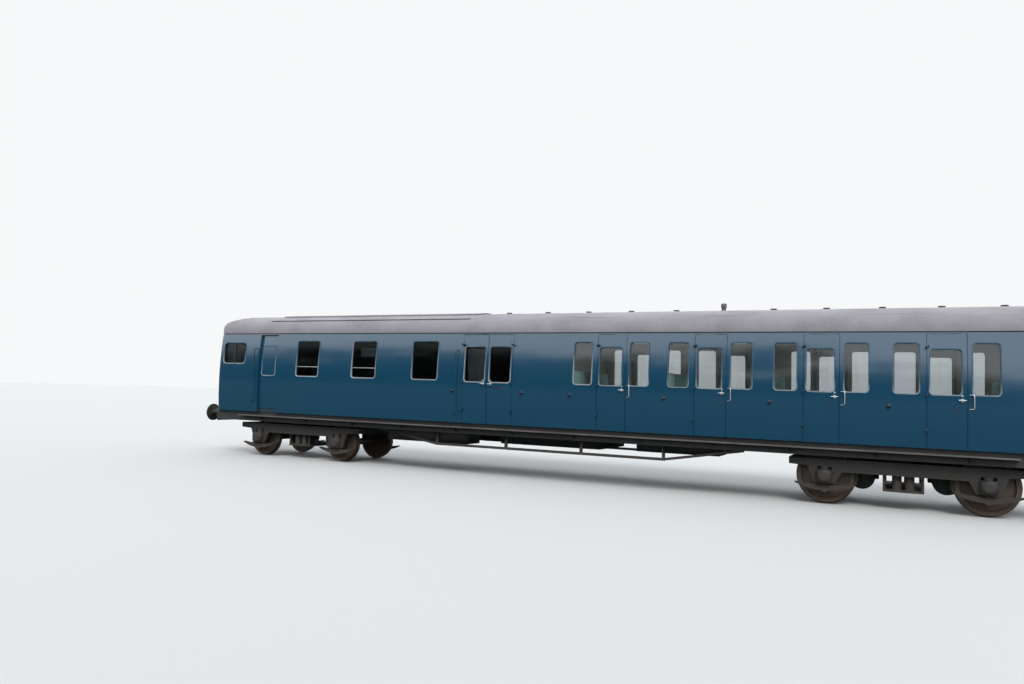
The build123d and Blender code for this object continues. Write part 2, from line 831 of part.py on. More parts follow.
floor_top = sill_height + floor_thickness
bulkheads = []
for x in (cab_bulkhead, engine_bulkhead, van_bulkhead):
    section = body_section(wall + seat_gap, roof_thickness + seat_gap, floor_top)
    bulkheads.append(along_x(section, cab_end + x, cab_end + x + bulkhead_thickness))
save("bulkheads", bulkheads)

nose_room = nose_body(
    end_thickness + seat_gap, sill_height - inner_margin, gutter_height + inner_margin, nose_return * 4
)
floor_half_width = side_y(sill_height, wall) - seat_gap
floor_nose = block(
    cab_end, cab_end + 2 * nose_return, -floor_half_width, floor_half_width, sill_height, floor_top
)
floor = rounded_front(
    floor_nose, end_thickness + seat_gap, nose_corner_radius, sill_height, floor_top, 2 * nose_return
)
floor += block(
    cab_end + 2 * nose_return,
    inner_end - end_thickness,
    -floor_half_width,
    floor_half_width,
    sill_height,
    floor_top,
)
save("floor", [floor])

# Underframe: channel solebars, headstocks, cross members, a truss along each side, and a cross
# beam with a pivot over each bogie.
solebar_foot = sill_height - solebar_depth
headstock_thickness = 30.0
headstock_drop = 40.0
cross_beam_width = 420.0
member_offsets = (-4400.0, -1500.0, 1500.0, 4400.0)
member_width = 90.0
member_depth = 180.0
truss_half_length = 4300.0
truss_level_half = 2700.0
truss_depth = 300.0
truss_bar = 55.0
truss_width = 60.0
truss_inset = 12.0
truss_posts = (-2700.0, -900.0, 900.0, 2700.0)
bogie_middle = (cab_end + inner_end) / 2
bogie_centres = {
    "cab": bogie_middle - bogie_centre_distance / 2,
    "inner": bogie_middle + bogie_centre_distance / 2,
}
beam_half = solebar_face - solebar_flange


def solebar():
    x0 = cab_end + headstock_thickness
    x1 = inner_end - headstock_thickness
    channel = block(x0, x1, beam_half, solebar_face, solebar_foot, sill_height)
    channel -= block(
        cab_end,
        inner_end,
        beam_half,
        solebar_face - solebar_web,
        solebar_foot + solebar_web,
        sill_height - solebar_web,
    )
    low = solebar_foot - truss_depth
    middle = bogie_middle
    y1 = solebar_face - truss_inset
    y0 = y1 - truss_width
    channel += block(middle - truss_level_half, middle + truss_level_half, y0, y1, low, low + truss_bar)
    for way in (-1, 1):
        slope = [
            (middle + way * truss_level_half, low),
            (middle + way * truss_half_length, solebar_foot - truss_bar / 2),
            (middle + way * truss_half_length, solebar_foot + solebar_web / 2),
            (middle + way * (truss_half_length - truss_bar), solebar_foot + solebar_web / 2),
            (middle + way * truss_level_half, low + truss_bar),
        ]
        channel += along_y(polygon_xz(slope), y0, y1)
    for offset in truss_posts:
        channel += block(
            middle + offset - truss_bar / 2,
            middle + offset + truss_bar / 2,
            y0,
            y1,
            low,
            solebar_foot + solebar_web / 2,
        )
    return channel


underframe = both_sides(solebar())
for x in (cab_end, inner_end - headstock_thickness):
    underframe.append(
        block(
            x, x + headstock_thickness, -solebar_face, solebar_face, solebar_foot - headstock_drop, sill_height
        )
    )
for x in bogie_centres.values():
    half = cross_beam_width / 2
    beam = block(x - half, x + half, -beam_half, beam_half, solebar_foot, sill_height)
    underframe.append(beam + upright(x, 0, solebar_foot - pivot_length, solebar_foot, pivot_radius))
for offset in member_offsets:
    x = bogie_middle + offset
    half = member_width / 2
    underframe.append(block(x - half, x + half, -beam_half, beam_half, sill_height - member_depth, sill_height))
save("underframe", underframe)

# Step boards, each on brackets from the solebar
step_board_drop = 95.0
step_board_thickness = 22.0
step_board_reach = 1410.0
step_board_end = 900.0
step_bracket_count = 12
step_bracket_thickness = 14.0
step_bracket_depth = 110.0
step_bracket_inset = 25.0
board_x0 = cab_end + step_board_end
board_x1 = inner_end - step_board_end
board_top = sill_height - step_board_drop
board_foot = board_top - step_board_thickness
board = block(board_x0, board_x1, solebar_face, step_board_reach, board_foot, board_top)
bracket_outline = [
    (0, solebar_face, board_foot),
    (0, step_board_reach - step_bracket_inset, board_foot),
    (0, solebar_face, board_foot - step_bracket_depth),
]
bracket_face = face_of(Polyline(bracket_outline, close=True).edges())
bracket_pitch = (board_x1 - board_x0) / step_bracket_count
for number in range(step_bracket_count):
    x = board_x0 + (number + 0.5) * bracket_pitch
    board += along_x(bracket_face, x, x + step_bracket_thickness)
save("step_boards", both_sides(board))

# Buffers and couplings
buffer_spacing = 1727.0
buffer_above_rail = 1054.0
buffer_height = rail_height + buffer_above_rail
buffer_head_radius = 229.0
buffer_head_thickness = 32.0
buffer_ram_radius = 72.0
buffer_housing_radius = 105.0
buffer_housing_length = 300.0
buffer_collar_radius = 125.0
buffer_collar_length = 36.0
buffer_base = 330.0
buffer_base_thickness = 30.0


def buffer(y):
    tip = cab_end - buffer_reach
    housing_x = cab_end - buffer_base_thickness - buffer_housing_length
    one = block(
        cab_end - buffer_base_thickness,
        cab_end,
        y - buffer_base / 2,
        y + buffer_base / 2,
        solebar_foot,
        sill_height,
    )
    one += lying(housing_x, cab_end - buffer_base_thickness / 2, y, buffer_height, buffer_housing_radius)
    one += lying(housing_x, housing_x + buffer_collar_length, y, buffer_height, buffer_collar_radius)
    one += lying(tip + buffer_head_thickness / 2, housing_x + 1, y, buffer_height, buffer_ram_radius)
    one += lying(tip, tip + buffer_head_thickness, y, buffer_height, buffer_head_radius)
    return one


save("buffers", [buffer(way * buffer_spacing / 2) for way in (-1, 1)])

hook_reach = 300.0
hook_width = 60.0
hook_throat = 46.0
hook_bar_half = 55.0
hook_tip_height = 80.0
hook_plate = 300.0
hook_plate_thickness = 24.0
bar_drop = 60.0
bar_radius = 80.0
bar_head_radius = 115.0
bar_head_length = 70.0
bar_box_half = 150.0
bar_box_length = 120.0
hook_outline = [
    (cab_end, buffer_height - hook_bar_half),
    (cab_end - hook_reach + hook_throat, buffer_height - hook_bar_half),
    (cab_end - hook_reach, buffer_height),
    (cab_end - hook_reach, buffer_height + hook_tip_height),
    (cab_end - hook_reach + hook_throat, buffer_height + hook_tip_height),
    (cab_end - hook_reach + 1.4 * hook_throat, buffer_height + hook_throat / 2),
    (cab_end - hook_reach + 2.4 * hook_throat, buffer_height + hook_throat / 2),
    (cab_end - hook_reach + 3 * hook_throat, buffer_height + hook_bar_half),
    (cab_end, buffer_height + hook_bar_half),
]
hook = along_y(polygon_xz(hook_outline), -hook_width / 2, hook_width / 2)
hook += block(
    cab_end - hook_plate_thickness,
    cab_end,
    -hook_plate / 2,
    hook_plate / 2,
    buffer_height - hook_plate / 2,
    sill_height,
)
bar_z = buffer_height - bar_drop
coupler = lying(inner_end, inner_end + coupling_reach, 0, bar_z, bar_radius)
coupler += lying(
    inner_end + coupling_reach - bar_head_length, inner_end + coupling_reach, 0, bar_z, bar_head_radius
)
coupler += block(
    inner_end, inner_end + bar_box_length, -bar_box_half, bar_box_half, bar_z - bar_box_half, bar_z + bar_box_half
)
save("couplings", [hook, coupler])

# Heavy and visible things inside
engine_length = 3000.0
engine_width = 1150.0
engine_height = 1450.0
engine_clearance = 280.0
engine_x = cab_end + cab_bulkhead + bulkhead_thickness + engine_clearance
engine = block(
    engine_x,
    engine_x + engine_length,
    -engine_width / 2,
    engine_width / 2,
    floor_top,
    floor_top + engine_height,
)
save("engine_set", [engine])

seat_back_thickness = 110.0
seat_depth = 520.0
seat_height = 450.0
seat_cushion_thickness = 150.0
seat_back_height = 1220.0
seat_back_shoulder = 150.0
seat_nose_radius = 45.0
seat_wall_gap = 25.0
seat_base_inset = 60.0
seat_base_set_back = 10.0
seat_overhang = 120.0
# Benches beside the aisle. Columns: side of the wall, width
benches = ((-1, 930.0), (1, 1230.0))
cushion_foot = floor_top + seat_height - seat_cushion_thickness
bench_wall_y = side_y(cushion_foot, wall) - seat_wall_gap
seat_lines = []
for number in range(bay_count):
    centre = cab_end + first_door + number * bay_length
    seat_lines.append((centre - bay_length / 2, 1))
    seat_lines.append((centre + bay_length / 2, -1))
seat_lines.append((cab_end + first_door + (bay_count - 0.5) * bay_length, 1))


def seat_back(x, way, y0, y1):
    # Upholstered back with round shoulders.
    width = abs(y1 - y0)
    panel = Rectangle(width, floor_top + seat_back_height - cushion_foot, align=(Align.CENTER, Align.MIN))
    shoulders = panel.vertices().group_by(Axis.Y)[-1]
    outline = Plane.YZ * fillet(shoulders, seat_back_shoulder)
    x0 = min(x, x + way * seat_back_thickness)
    return Pos(x0, (y0 + y1) / 2, cushion_foot) * extrude(outline, amount=seat_back_thickness)


def seat_cushion(x, way, y0, y1):
    # Cushion with a rolled front edge.
    near = x + way * (seat_back_thickness + seat_gap)
    far = x + way * (seat_back_thickness + seat_depth)
    cushion = block(near, far, y0, y1, cushion_foot, floor_top + seat_height)
    front_edges = cushion.edges().filter_by(Axis.Y).filter_by(
        lambda edge: abs(edge.center().X - far) < 1 and edge.center().Z > cushion_foot + 1
    )
    return fillet(front_edges, seat_nose_radius)


cushions = []
backs = []
stands = []
for x, way in seat_lines:
    for wall_side, width in benches:
        y0 = wall_side * bench_wall_y
        y1 = wall_side * (bench_wall_y - width)
        backs.append(seat_back(x, way, y0, y1))
        cushions.append(seat_cushion(x, way, y0, y1))
        stands.append(
            block(
                x + way * seat_base_set_back,
                x + way * (seat_back_thickness + seat_depth - seat_overhang),
                y0 - wall_side * seat_base_inset,
                y1 + wall_side * seat_base_inset,
                floor_top,
                cushion_foot - seat_gap,
            )
        )
save("seat_backs", backs)
save("seat_cushions", cushions)
save("seat_bases", stands)

# Cab: a desk across the front, and the driver's seat with the control stand
desk_depth = 420.0
desk_height = 820.0
desk_half_width = 1150.0
driver_place = 900.0
driver_y = -700.0
driver_seat_width = 460.0
driver_seat_length = 430.0
driver_seat_height = 500.0
driver_seat_pad = 90.0
driver_back_height = 1000.0
driver_back_thickness = 80.0
driver_post_radius = 70.0
desk = nose_room & block(
    cab_end,
    cab_end + end_thickness + desk_depth,
    -desk_half_width,
    desk_half_width,
    floor_top,
    floor_top + desk_height,
)
driver_x = cab_end + driver_place
seat_foot = floor_top + driver_seat_height - driver_seat_pad
seat_y0 = driver_y - driver_seat_width / 2
seat_y1 = driver_y + driver_seat_width / 2
driver_seat = block(
    driver_x, driver_x + driver_seat_length, seat_y0, seat_y1, seat_foot, floor_top + driver_seat_height
)
driver_seat += block(
    driver_x + driver_seat_length - driver_back_thickness,
    driver_x + driver_seat_length,
    seat_y0,
    seat_y1,
    seat_foot,
    floor_top + driver_back_height,
)
driver_seat += upright(
    driver_x + driver_seat_length / 2, driver_y, floor_top, seat_foot + 1, driver_post_radius
)
save("cab_furniture", [desk, driver_seat])

# Roof ventilators on the centre line, half a bay apart. One is taller than the rest.
# Columns: height above the roof, stem radius, cap radius, cap thickness, dish of the cap
vent_shapes = {"low": (44.0, 46.0, 68.0, 20.0, 9.0), "tall": (172.0, 48.0, 60.0, 96.0, 27.0)}
tall_vent_number = 5
vent_ring_height = 14.0
vent_first = 3
vent_end_clearance = 400.0
vent_count = int((body_length - vent_end_clearance - first_door) / (bay_length / 2)) + vent_first + 1


def roof_vent(x, height, stem, cap, thickness, dish):
    # A base ring and stem under a domed cap, turned about an upright axis.
    low = crown_height - roof_thickness / 2
    top = crown_height + height
    outline = [
        (0, low),
        (cap, low),
        (cap, crown_height + vent_ring_height),
        (stem, crown_height + vent_ring_height),
        (stem, top - thickness),
        (cap, top - thickness),
        (cap, top - dish),
        ((stem + cap) / 2, top - dish / 3),
        (stem / 2, top),
        (0, top),
    ]
    vent = revolve(polygon_xz(outline), axis=Axis.Z)
    under = crown_band(-2 * cap, 2 * cap, -shoulder_angle, shoulder_angle, -seat_gap, 2 * roof_thickness)
    return Pos(x, 0, 0) * (vent - under)


vents = []
for number in range(vent_count):
    x = cab_end + first_door + (number - vent_first) * bay_length / 2
    shape = vent_shapes["tall" if number == tall_vent_number else "low"]
    if x > cab_end + cover_end + cover_joint + shape[2]:
        vents.append(roof_vent(x, *shape))
save("roof_vents", vents)

# Bogies. Columns: name, wheelbase, wheel diameter, has traction motors
bogies = (("cab", 2590.0, 914.0, False), ("inner", 2667.0, 1016.0, True))
side_frame_y = 980.0
side_frame_width = 80.0
side_frame_above_rail = 690.0
side_frame_foot = rail_height + side_frame_above_rail
side_frame_depth = 150.0
side_frame_belly = 90.0
frame_overhang = 640.0
headstock_width = 60.0
headstock_rise = 20.0
transom_offset = 420.0
transom_width = 160.0
transom_depth = 200.0
box_width = 250.0
box_height = 250.0
box_cover_radius = 88.0
box_cover_reach = 26.0
box_front = 30.0
box_back = 10.0
box_neck_radius = 75.0
horn_width = 60.0
horn_taper = 120.0
bolster_width = 300.0
bolster_half_length = 900.0
bolster_depth = 150.0
bolster_top = solebar_foot - bogie_bolster_gap
bearer_offset = 750.0
bearer_half_length = 100.0
bearer_half_width = 60.0
plank_above_rail = 300.0
plank_thickness = 40.0
plank_half_length = 340.0
plank_half_width = 930.0
coil_radius = 82.0
coil_offset = 105.0
coil_y = 830.0
link_radius = 22.0
leaf_length = 1060.0
leaf_camber = 40.0
leaf_depth = 105.0
leaf_end = 24.0
leaf_width = 90.0
leaf_clip_half = 55.0
brake_block_thickness = 50.0
brake_block_width = 84.0
brake_block_angle = 15.0
brake_hanger = 36.0
brake_bracket_depth = 60.0
motor_length = 420.0
motor_half_width = 480.0
motor_radius = 235.0
motor_neck = 120.0


def wheel(radius):
    # One wheel turned about Y, its back face at Y = 0 and its flange beside that face.
    rim_inner = radius - tyre_depth
    rim_web = tyre_width / 2 - web_dish / 2
    hub_web = rim_web + web_dish
    hub_y = tyre_width / 2
    half = web_thickness / 2
    bore = axle_radius + seat_gap
    points = [
        (bore, hub_y - hub_length / 2),
        (hub_radius, hub_y - hub_length / 2),
        (hub_radius, hub_web - half),
        (rim_inner, rim_web - half),
        (rim_inner, 0),
        (radius + flange_depth, 0),
        (radius + flange_depth, flange_crest),
        (radius, flange_width),
        (radius, tyre_width),
        (rim_inner, tyre_width),
        (rim_inner, rim_web + half),
        (hub_radius, hub_web + half),
        (hub_radius, hub_y + hub_length / 2),
        (bore, hub_y + hub_length / 2),
    ]
    outline = Polyline([(r, y, 0) for r, y in points], close=True)
    return revolve(face_of(outline.edges()), axis=Axis.Y)


def wheelset(x, radius):
    axle_z = rail_height + radius
    right = Pos(x, back_to_back / 2, axle_z) * wheel(radius)
    axle_half = journal_centre + journal_length / 2
    seat_end = back_to_back / 2 + tyre_width / 2 + hub_length / 2
    axle = across(x, axle_z, -seat_end, seat_end, axle_radius)
    axle += across(x, axle_z, -axle_half, axle_half, journal_radius)
    return [right, on_side(right, "left"), axle]


def side_frame(x, wheelbase, axle_z):
    # Plate frame: level on top, deeper between the boxes, with a pair of tapered horns at each.
    top = side_frame_foot + side_frame_depth
    foot = side_frame_foot
    belly = foot - side_frame_belly
    axle = wheelbase / 2
    gap = box_width / 2
    horn_foot = axle_z - box_height / 2
    half = [
        (transom_offset + transom_width, belly),
        (axle - gap - horn_width - horn_taper, belly),
        (axle - gap - horn_width, horn_foot),
        (axle - gap, horn_foot),
        (axle - gap, foot),
        (axle + gap, foot),
        (axle + gap, horn_foot),
        (axle + gap + horn_width, horn_foot),
        (axle + gap + horn_width + horn_taper, foot),
        (axle + frame_overhang, foot + headstock_rise),
        (axle + frame_overhang, top),
    ]
    right = [(x + px, pz) for px, pz in half]
    left = [(x - px, pz) for px, pz in reversed(half)]
    plate = polygon_xz(right + left)
    return along_y(plate, side_frame_y - side_frame_width / 2, side_frame_y + side_frame_width / 2)


def brake_block(axle_x, axle_z, radius, way):
    # Shoe beside the tread, on a hanger and a bracket that reach in from the side frame.
    tread_y = back_to_back / 2 + (flange_width + tyre_width) / 2
    y0 = tread_y - brake_block_width / 2
    y1 = tread_y + brake_block_width / 2
    inner = radius + running_gap
    outer = inner + brake_block_thickness
    shoe = Cylinder(outer, y1 - y0) - Cylinder(inner, 2 * (y1 - y0))
    shoe = Pos(axle_x, (y0 + y1) / 2, axle_z) * Rot(90, 0, 0) * shoe
    reach = outer * sin(brake_block_angle / 180 * pi)
    shoe &= block(axle_x, axle_x - way * 2 * outer, y0, y1, axle_z - reach, axle_z + reach)
    x = axle_x - way * (outer - brake_block_thickness / 2 + brake_hanger / 2)
    top = side_frame_foot + brake_bracket_depth
    hanger = block(x - brake_hanger / 2, x + brake_hanger / 2, y0, y1, axle_z - reach / 2, top)
    bracket = block(
        x - brake_hanger / 2, x + brake_hanger / 2, y0, side_frame_y, top - brake_bracket_depth, top
    )
    return shoe + hanger + bracket


def bogie_frame(x, wheelbase, radius):
    axle_z = rail_height + radius
    top = side_frame_foot + side_frame_depth
    side = side_frame(x, wheelbase, axle_z)
    for way in (-1, 1):
        side += brake_block(x + way * wheelbase / 2, axle_z, radius, way)
    frame = side + on_side(side, "left")
    half_length = wheelbase / 2 + frame_overhang
    # Columns of the cross bars: place from the middle, width, foot
    bars = (
        (transom_offset, transom_width, top - transom_depth),
        (half_length - headstock_width / 2, headstock_width, side_frame_foot + headstock_rise),
    )
    for way in (-1, 1):
        for offset, width, foot in bars:
            middle = x + way * offset
            frame += block(
                middle - width / 2, middle + width / 2, -side_frame_y, side_frame_y, foot, top
            )
    return frame


def bogie_bolster(x):
    # Bolster between the transoms, on four coil springs and a plank that hangs on links.
    plank_z = rail_height + plank_above_rail
    spring_z = plank_z + plank_thickness
    foot = bolster_top - bolster_depth
    half = bolster_width / 2
    bolster = block(x - half, x + half, -bolster_half_length, bolster_half_length, foot, bolster_top)
    bolster -= upright(x, 0, foot - 1, bolster_top + 1, pivot_radius + seat_gap)
    bolster += block(
        x - plank_half_length, x + plank_half_length, -plank_half_width, plank_half_width, plank_z, spring_z
    )
    link_top = side_frame_foot + side_frame_depth - transom_depth - seat_gap
    for side in (-1, 1):
        bolster += block(
            x - bearer_half_length,
            x + bearer_half_length,
            side * bearer_offset - bearer_half_width,
            side * bearer_offset + bearer_half_width,
            bolster_top - 1,
            solebar_foot - seat_gap,
        )
        for way in (-1, 1):
            bolster += upright(x + way * coil_offset, side * coil_y, spring_z - 1, foot + 1, coil_radius)
            bolster += upright(
                x + way * (plank_half_length - link_radius),
                side * (plank_half_width - link_radius),
                plank_z + 1,
                link_top,
                link_radius,
            )
    return bolster


def axle_box(x, axle_z):
    # Box on the journal, with a round cover, a neck up to the frame and a leaf spring below.
    y0 = journal_centre - journal_length / 2 - box_back
    y1 = journal_centre + journal_length / 2 + box_front
    half = box_width / 2
    low = axle_z - box_height / 2
    high = axle_z + box_height / 2
    box = block(x - half, x + half, y0, y1, low, high)
    box += across(x, axle_z, y1 - 1, y1 + box_cover_reach, box_cover_radius)
    box += upright(x, journal_centre, high - 1, side_frame_foot, box_neck_radius)
    box -= across(x, axle_z, 0, journal_centre + journal_length / 2 + seat_gap, journal_radius + seat_gap)
    leaf_half = leaf_length / 2
    spring_top = low - leaf_camber
    upper = ThreePointArc((x - leaf_half, 0, low), (x, 0, spring_top), (x + leaf_half, 0, low))
    lower = ThreePointArc(
        (x + leaf_half, 0, low - leaf_end), (x, 0, spring_top - leaf_depth), (x - leaf_half, 0, low - leaf_end)
    )
    edges = [upper, Line(upper @ 1, lower @ 0), lower, Line(lower @ 1, upper @ 0)]
    y2 = journal_centre - leaf_width / 2
    y3 = journal_centre + leaf_width / 2
    box += along_y(face_of(edges), y2, y3)
    box += block(x - leaf_clip_half, x + leaf_clip_half, y2, y3, spring_top - leaf_depth - leaf_end, low + 1)
    return box


def traction_motor(x, axle_z, way):
    # Barrel across the bogie, hung by a nose under the transom whose middle is at x.
    barrel_x = x + way * (transom_width + motor_length) / 2
    nose_top = side_frame_foot + side_frame_depth - transom_depth
    motor = across(barrel_x, axle_z, -motor_half_width, motor_half_width, motor_radius)
    motor += block(x, barrel_x, -motor_neck, motor_neck, axle_z - motor_neck / 2, nose_top)
    return motor


wheel_numbers = {"cab": (1, 2), "inner": (3, 4)}
for bogie_name, wheelbase, diameter, has_motors in bogies:
    centre_x = bogie_centres[bogie_name]
    radius = diameter / 2
    axle_z = rail_height + radius
    boxes = []
    motors = []
    for number, way in zip(wheel_numbers[bogie_name], (-1, 1)):
        x = centre_x + way * wheelbase / 2
        save(f"wheelset_{number}", wheelset(x, radius))
        boxes.extend(both_sides(axle_box(x, axle_z)))
        motors.append(traction_motor(centre_x + way * transom_offset, axle_z, way))
    save(f"bogie_frame_{bogie_name}", [bogie_frame(centre_x, wheelbase, radius)])
    save(f"bogie_bolster_{bogie_name}", [bogie_bolster(centre_x)])
    save(f"axle_boxes_{bogie_name}", boxes)
    if has_motors:
        save("traction_motors", motors)

# Underfloor boxes between the bogies, with a lid lip. Columns: place, length, inner y, outer y, depth.
# The place is the box's middle, measured from the middle between the bogies.
frame_end = bogies[0][1] / 2 + frame_overhang
underfloor_drop = 20.0
lid_lip = 16.0
lid_depth = 60.0
underfloor_boxes = (
    (-3050.0, 2200.0, -1110.0, -500.0, 480.0),
    (-3050.0, 2200.0, 500.0, 1110.0, 480.0),
    (0.0, 2400.0, -850.0, 850.0, 420.0),
    (2950.0, 1700.0, -1110.0, -400.0, 380.0),
    (2950.0, 1700.0, 400.0, 1110.0, 380.0),
)
underfloor = []
for place, length, y0, y1, depth in underfloor_boxes:
    x0 = bogie_middle + place - length / 2
    x1 = bogie_middle + place + length / 2
    foot = sill_height - underfloor_drop - depth
    one = block(x0, x1, y0, y1, foot, sill_height)
    one += block(x0 - lid_lip, x1 + lid_lip, y0 - lid_lip, y1 + lid_lip, foot + depth / 2, foot + depth / 2 + lid_depth)
    underfloor.append(one)
save("underfloor_equipment", underfloor)
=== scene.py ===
import json
import math

import bpy
from mathutils import Matrix, Vector


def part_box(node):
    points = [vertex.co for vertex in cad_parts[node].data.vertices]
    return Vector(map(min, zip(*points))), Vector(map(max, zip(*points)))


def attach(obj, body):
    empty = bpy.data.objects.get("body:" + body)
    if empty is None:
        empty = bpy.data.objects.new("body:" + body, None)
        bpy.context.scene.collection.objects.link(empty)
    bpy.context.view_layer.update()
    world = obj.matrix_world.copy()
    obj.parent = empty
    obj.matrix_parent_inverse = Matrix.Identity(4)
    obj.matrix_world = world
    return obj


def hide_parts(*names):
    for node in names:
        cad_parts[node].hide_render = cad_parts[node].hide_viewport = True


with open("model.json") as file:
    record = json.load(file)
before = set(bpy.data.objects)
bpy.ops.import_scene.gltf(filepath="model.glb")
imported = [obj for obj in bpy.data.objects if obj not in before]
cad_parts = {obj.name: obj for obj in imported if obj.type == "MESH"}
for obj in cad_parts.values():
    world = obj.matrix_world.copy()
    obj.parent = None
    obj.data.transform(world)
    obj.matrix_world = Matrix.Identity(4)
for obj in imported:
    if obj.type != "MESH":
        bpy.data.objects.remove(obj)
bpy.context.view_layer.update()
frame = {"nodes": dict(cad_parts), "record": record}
nodes = frame["nodes"]
bodyOf = {}
for bodyName, names in frame["record"]["behaviour"]["bodies"].items():
    for nodeName in names:
        bodyOf[nodeName] = bodyName
slotOf = {row["node"]: row["material_slot"] for row in frame["record"]["subparts"]}
bpy.ops.object.select_all(action="DESELECT")
print("frame loaded,", len(nodes), "nodes")

# Camera

camera = {
    "place": (7.085, -17.063, 1.918),
    "turn": 0.458,  # from straight across, towards the cab
    "tilt": 0.064,  # upwards
    "lean": 0.034,  # uprights lean to the right
    "lens": 27.56,
    "sensor": 36.0,
    "farEnd": 500.0,
}


def addCamera():
    bpy.ops.object.camera_add()
    eye = bpy.context.active_object
    eye.name = "viewCamera"
    eye.data.lens = camera["lens"]
    eye.data.sensor_width = camera["sensor"]
    eye.data.clip_end = camera["farEnd"]
    turn = Matrix.Rotation(camera["turn"], 4, "Z")
    tilt = Matrix.Rotation(math.pi / 2 + camera["tilt"], 4, "X")
    lean = Matrix.Rotation(camera["lean"], 4, "Z")
    eye.matrix_world = Matrix.Translation(camera["place"]) @ (turn @ tilt) @ lean
    bpy.context.scene.camera = eye
    eye.select_set(False)


addCamera()

# Shader building blocks


def isSocket(value):
    return isinstance(value, bpy.types.NodeSocket)


def withAlpha(value):
    # Colours are written as three numbers, and sockets take four
    return (*value, 1.0) if isinstance(value, tuple) else value


def startGroup(name, inputs, outputs):
    group = bpy.data.node_groups.new(name, "ShaderNodeTree")
    for label, value in inputs.items():
        kind = "NodeSocketFloat" if isinstance(value, float) else "NodeSocketColor"
        socket = group.interface.new_socket(name=label, in_out="INPUT", socket_type=kind)
        socket.default_value = withAlpha(value)
    for label, kind in outputs.items():
        group.interface.new_socket(name=label, in_out="OUTPUT", socket_type=kind)
    return group, group.nodes.new("NodeGroupInput"), group.nodes.new("NodeGroupOutput")


def joinUp(tree, kind, settings=None, **inputs):
    # A node with its settings, fed by numbers or sockets; n0, n1 and so on name an input by its number
    node = tree.nodes.new(kind)
    for label, value in (settings or {}).items():
        setattr(node, label, value)
    for label, value in inputs.items():
        byNumber = label[0] == "n" and label[1:].isdigit()
        socket = node.inputs[int(label[1:]) if byNumber else label]
        if isSocket(value):
            tree.links.new(value, socket)
        else:
            socket.default_value = value
    return node


def maths(tree, job, first, second, clamp=False):
    settings = {"operation": job, "use_clamp": clamp}
    return joinUp(tree, "ShaderNodeMath", settings, n0=first, n1=second).outputs["Value"]


def mixColour(tree, share, first, second):
    ends = {"n6": withAlpha(first), "n7": withAlpha(second)}
    return joinUp(tree, "ShaderNodeMix", {"data_type": "RGBA"}, n0=share, **ends).outputs[2]


def mixShader(tree, share, first, second):
    return joinUp(tree, "ShaderNodeMixShader", n0=share, n1=first, n2=second).outputs["Shader"]


def noiseAt(tree, place, scale, detail, roughness, stretch=None):
    if stretch:
        place = joinUp(tree, "ShaderNodeMapping", Vector=place, Scale=stretch).outputs["Vector"]
    node = joinUp(tree, "ShaderNodeTexNoise", Vector=place, Scale=scale, Detail=detail, Roughness=roughness)
    return node.outputs["Fac"]


def swing(tree, place, noise, amount):
    # Noise that swings about zero
    return maths(tree, "MULTIPLY", maths(tree, "SUBTRACT", noiseAt(tree, place, *noise), 0.5), amount)


def spread(tree, value, low, high, outLow=0.0, outHigh=1.0, kind="SMOOTHSTEP"):
    settings = {"clamp": True, "interpolation_type": kind}
    node = joinUp(tree, "ShaderNodeMapRange", settings, n0=value, n1=low, n2=high, n3=outLow, n4=outHigh)
    return node.outputs["Result"]


def eitherRay(tree, first, second):
    # One for rays of either kind, nothing for all others
    kinds = tree.nodes.new("ShaderNodeLightPath").outputs
    return maths(tree, "MAXIMUM", kinds[f"Is {first} Ray"], kinds[f"Is {second} Ray"])


# Light

light = {
    "skyColour": (0.86, 0.90, 0.95),
    "skyStrength": 0.78,
    "backColour": (0.93, 0.94, 0.95),
    "backStrength": 1.0,
    "glossLow": (0.014, 0.027, 0.030),  # what gloss sees near the ground
    "glossHigh": (0.93, 0.97, 1.0),  # and higher up
    "glossStrength": 2.4,
    "glossFrom": 0.06,
    "glossTo": 0.18,
    "ragged": (13.0, 6.0, 0.65),  # scale, detail and roughness
    "raggedDepth": 0.30,
    "drift": (2.6, 1.0, 0.5),
    "driftDepth": 0.55,
    "driftPlace": (3.0, 1.0, 0.0),
    "keyStrength": 1.7,
    "keySpread": 24.0,
    "keyTurn": (48.0, 0.0, 28.0),
}


def addBackdrop(tree, colour, strength):
    node = joinUp(tree, "ShaderNodeBackground", Color=withAlpha(colour), Strength=strength)
    return node.outputs["Background"]


def addSky():
    # A pale sky for light, white behind the coach, and a bright top with a ragged foot for gloss
    world = bpy.data.worlds.new("studioSky")
    bpy.context.scene.world = world
    world.use_nodes = True
    tree = world.node_tree
    way = tree.nodes.new("ShaderNodeTexCoord").outputs["Generated"]
    height = joinUp(tree, "ShaderNodeSeparateXYZ", Vector=way).outputs["Z"]
    moved = joinUp(tree, "ShaderNodeVectorMath", n0=way, n1=light["driftPlace"]).outputs["Vector"]
    ragged = swing(tree, way, light["ragged"], light["raggedDepth"])
    drift = swing(tree, moved, light["drift"], light["driftDepth"])
    level = maths(tree, "ADD", height, maths(tree, "ADD", ragged, drift))
    above = spread(tree, level, light["glossFrom"], light["glossTo"])
    glossColour = mixColour(tree, above, light["glossLow"], light["glossHigh"])
    plain = addBackdrop(tree, light["skyColour"], light["skyStrength"])
    gloss = addBackdrop(tree, glossColour, light["glossStrength"])
    white = addBackdrop(tree, light["backColour"], light["backStrength"])
    isGlossy = tree.nodes.new("ShaderNodeLightPath").outputs["Is Glossy Ray"]
    whole = mixShader(tree, isGlossy, plain, gloss)
    whole = mixShader(tree, eitherRay(tree, "Camera", "Transmission"), whole, white)
    tree.links.new(whole, tree.nodes["World Output"].inputs["Surface"])


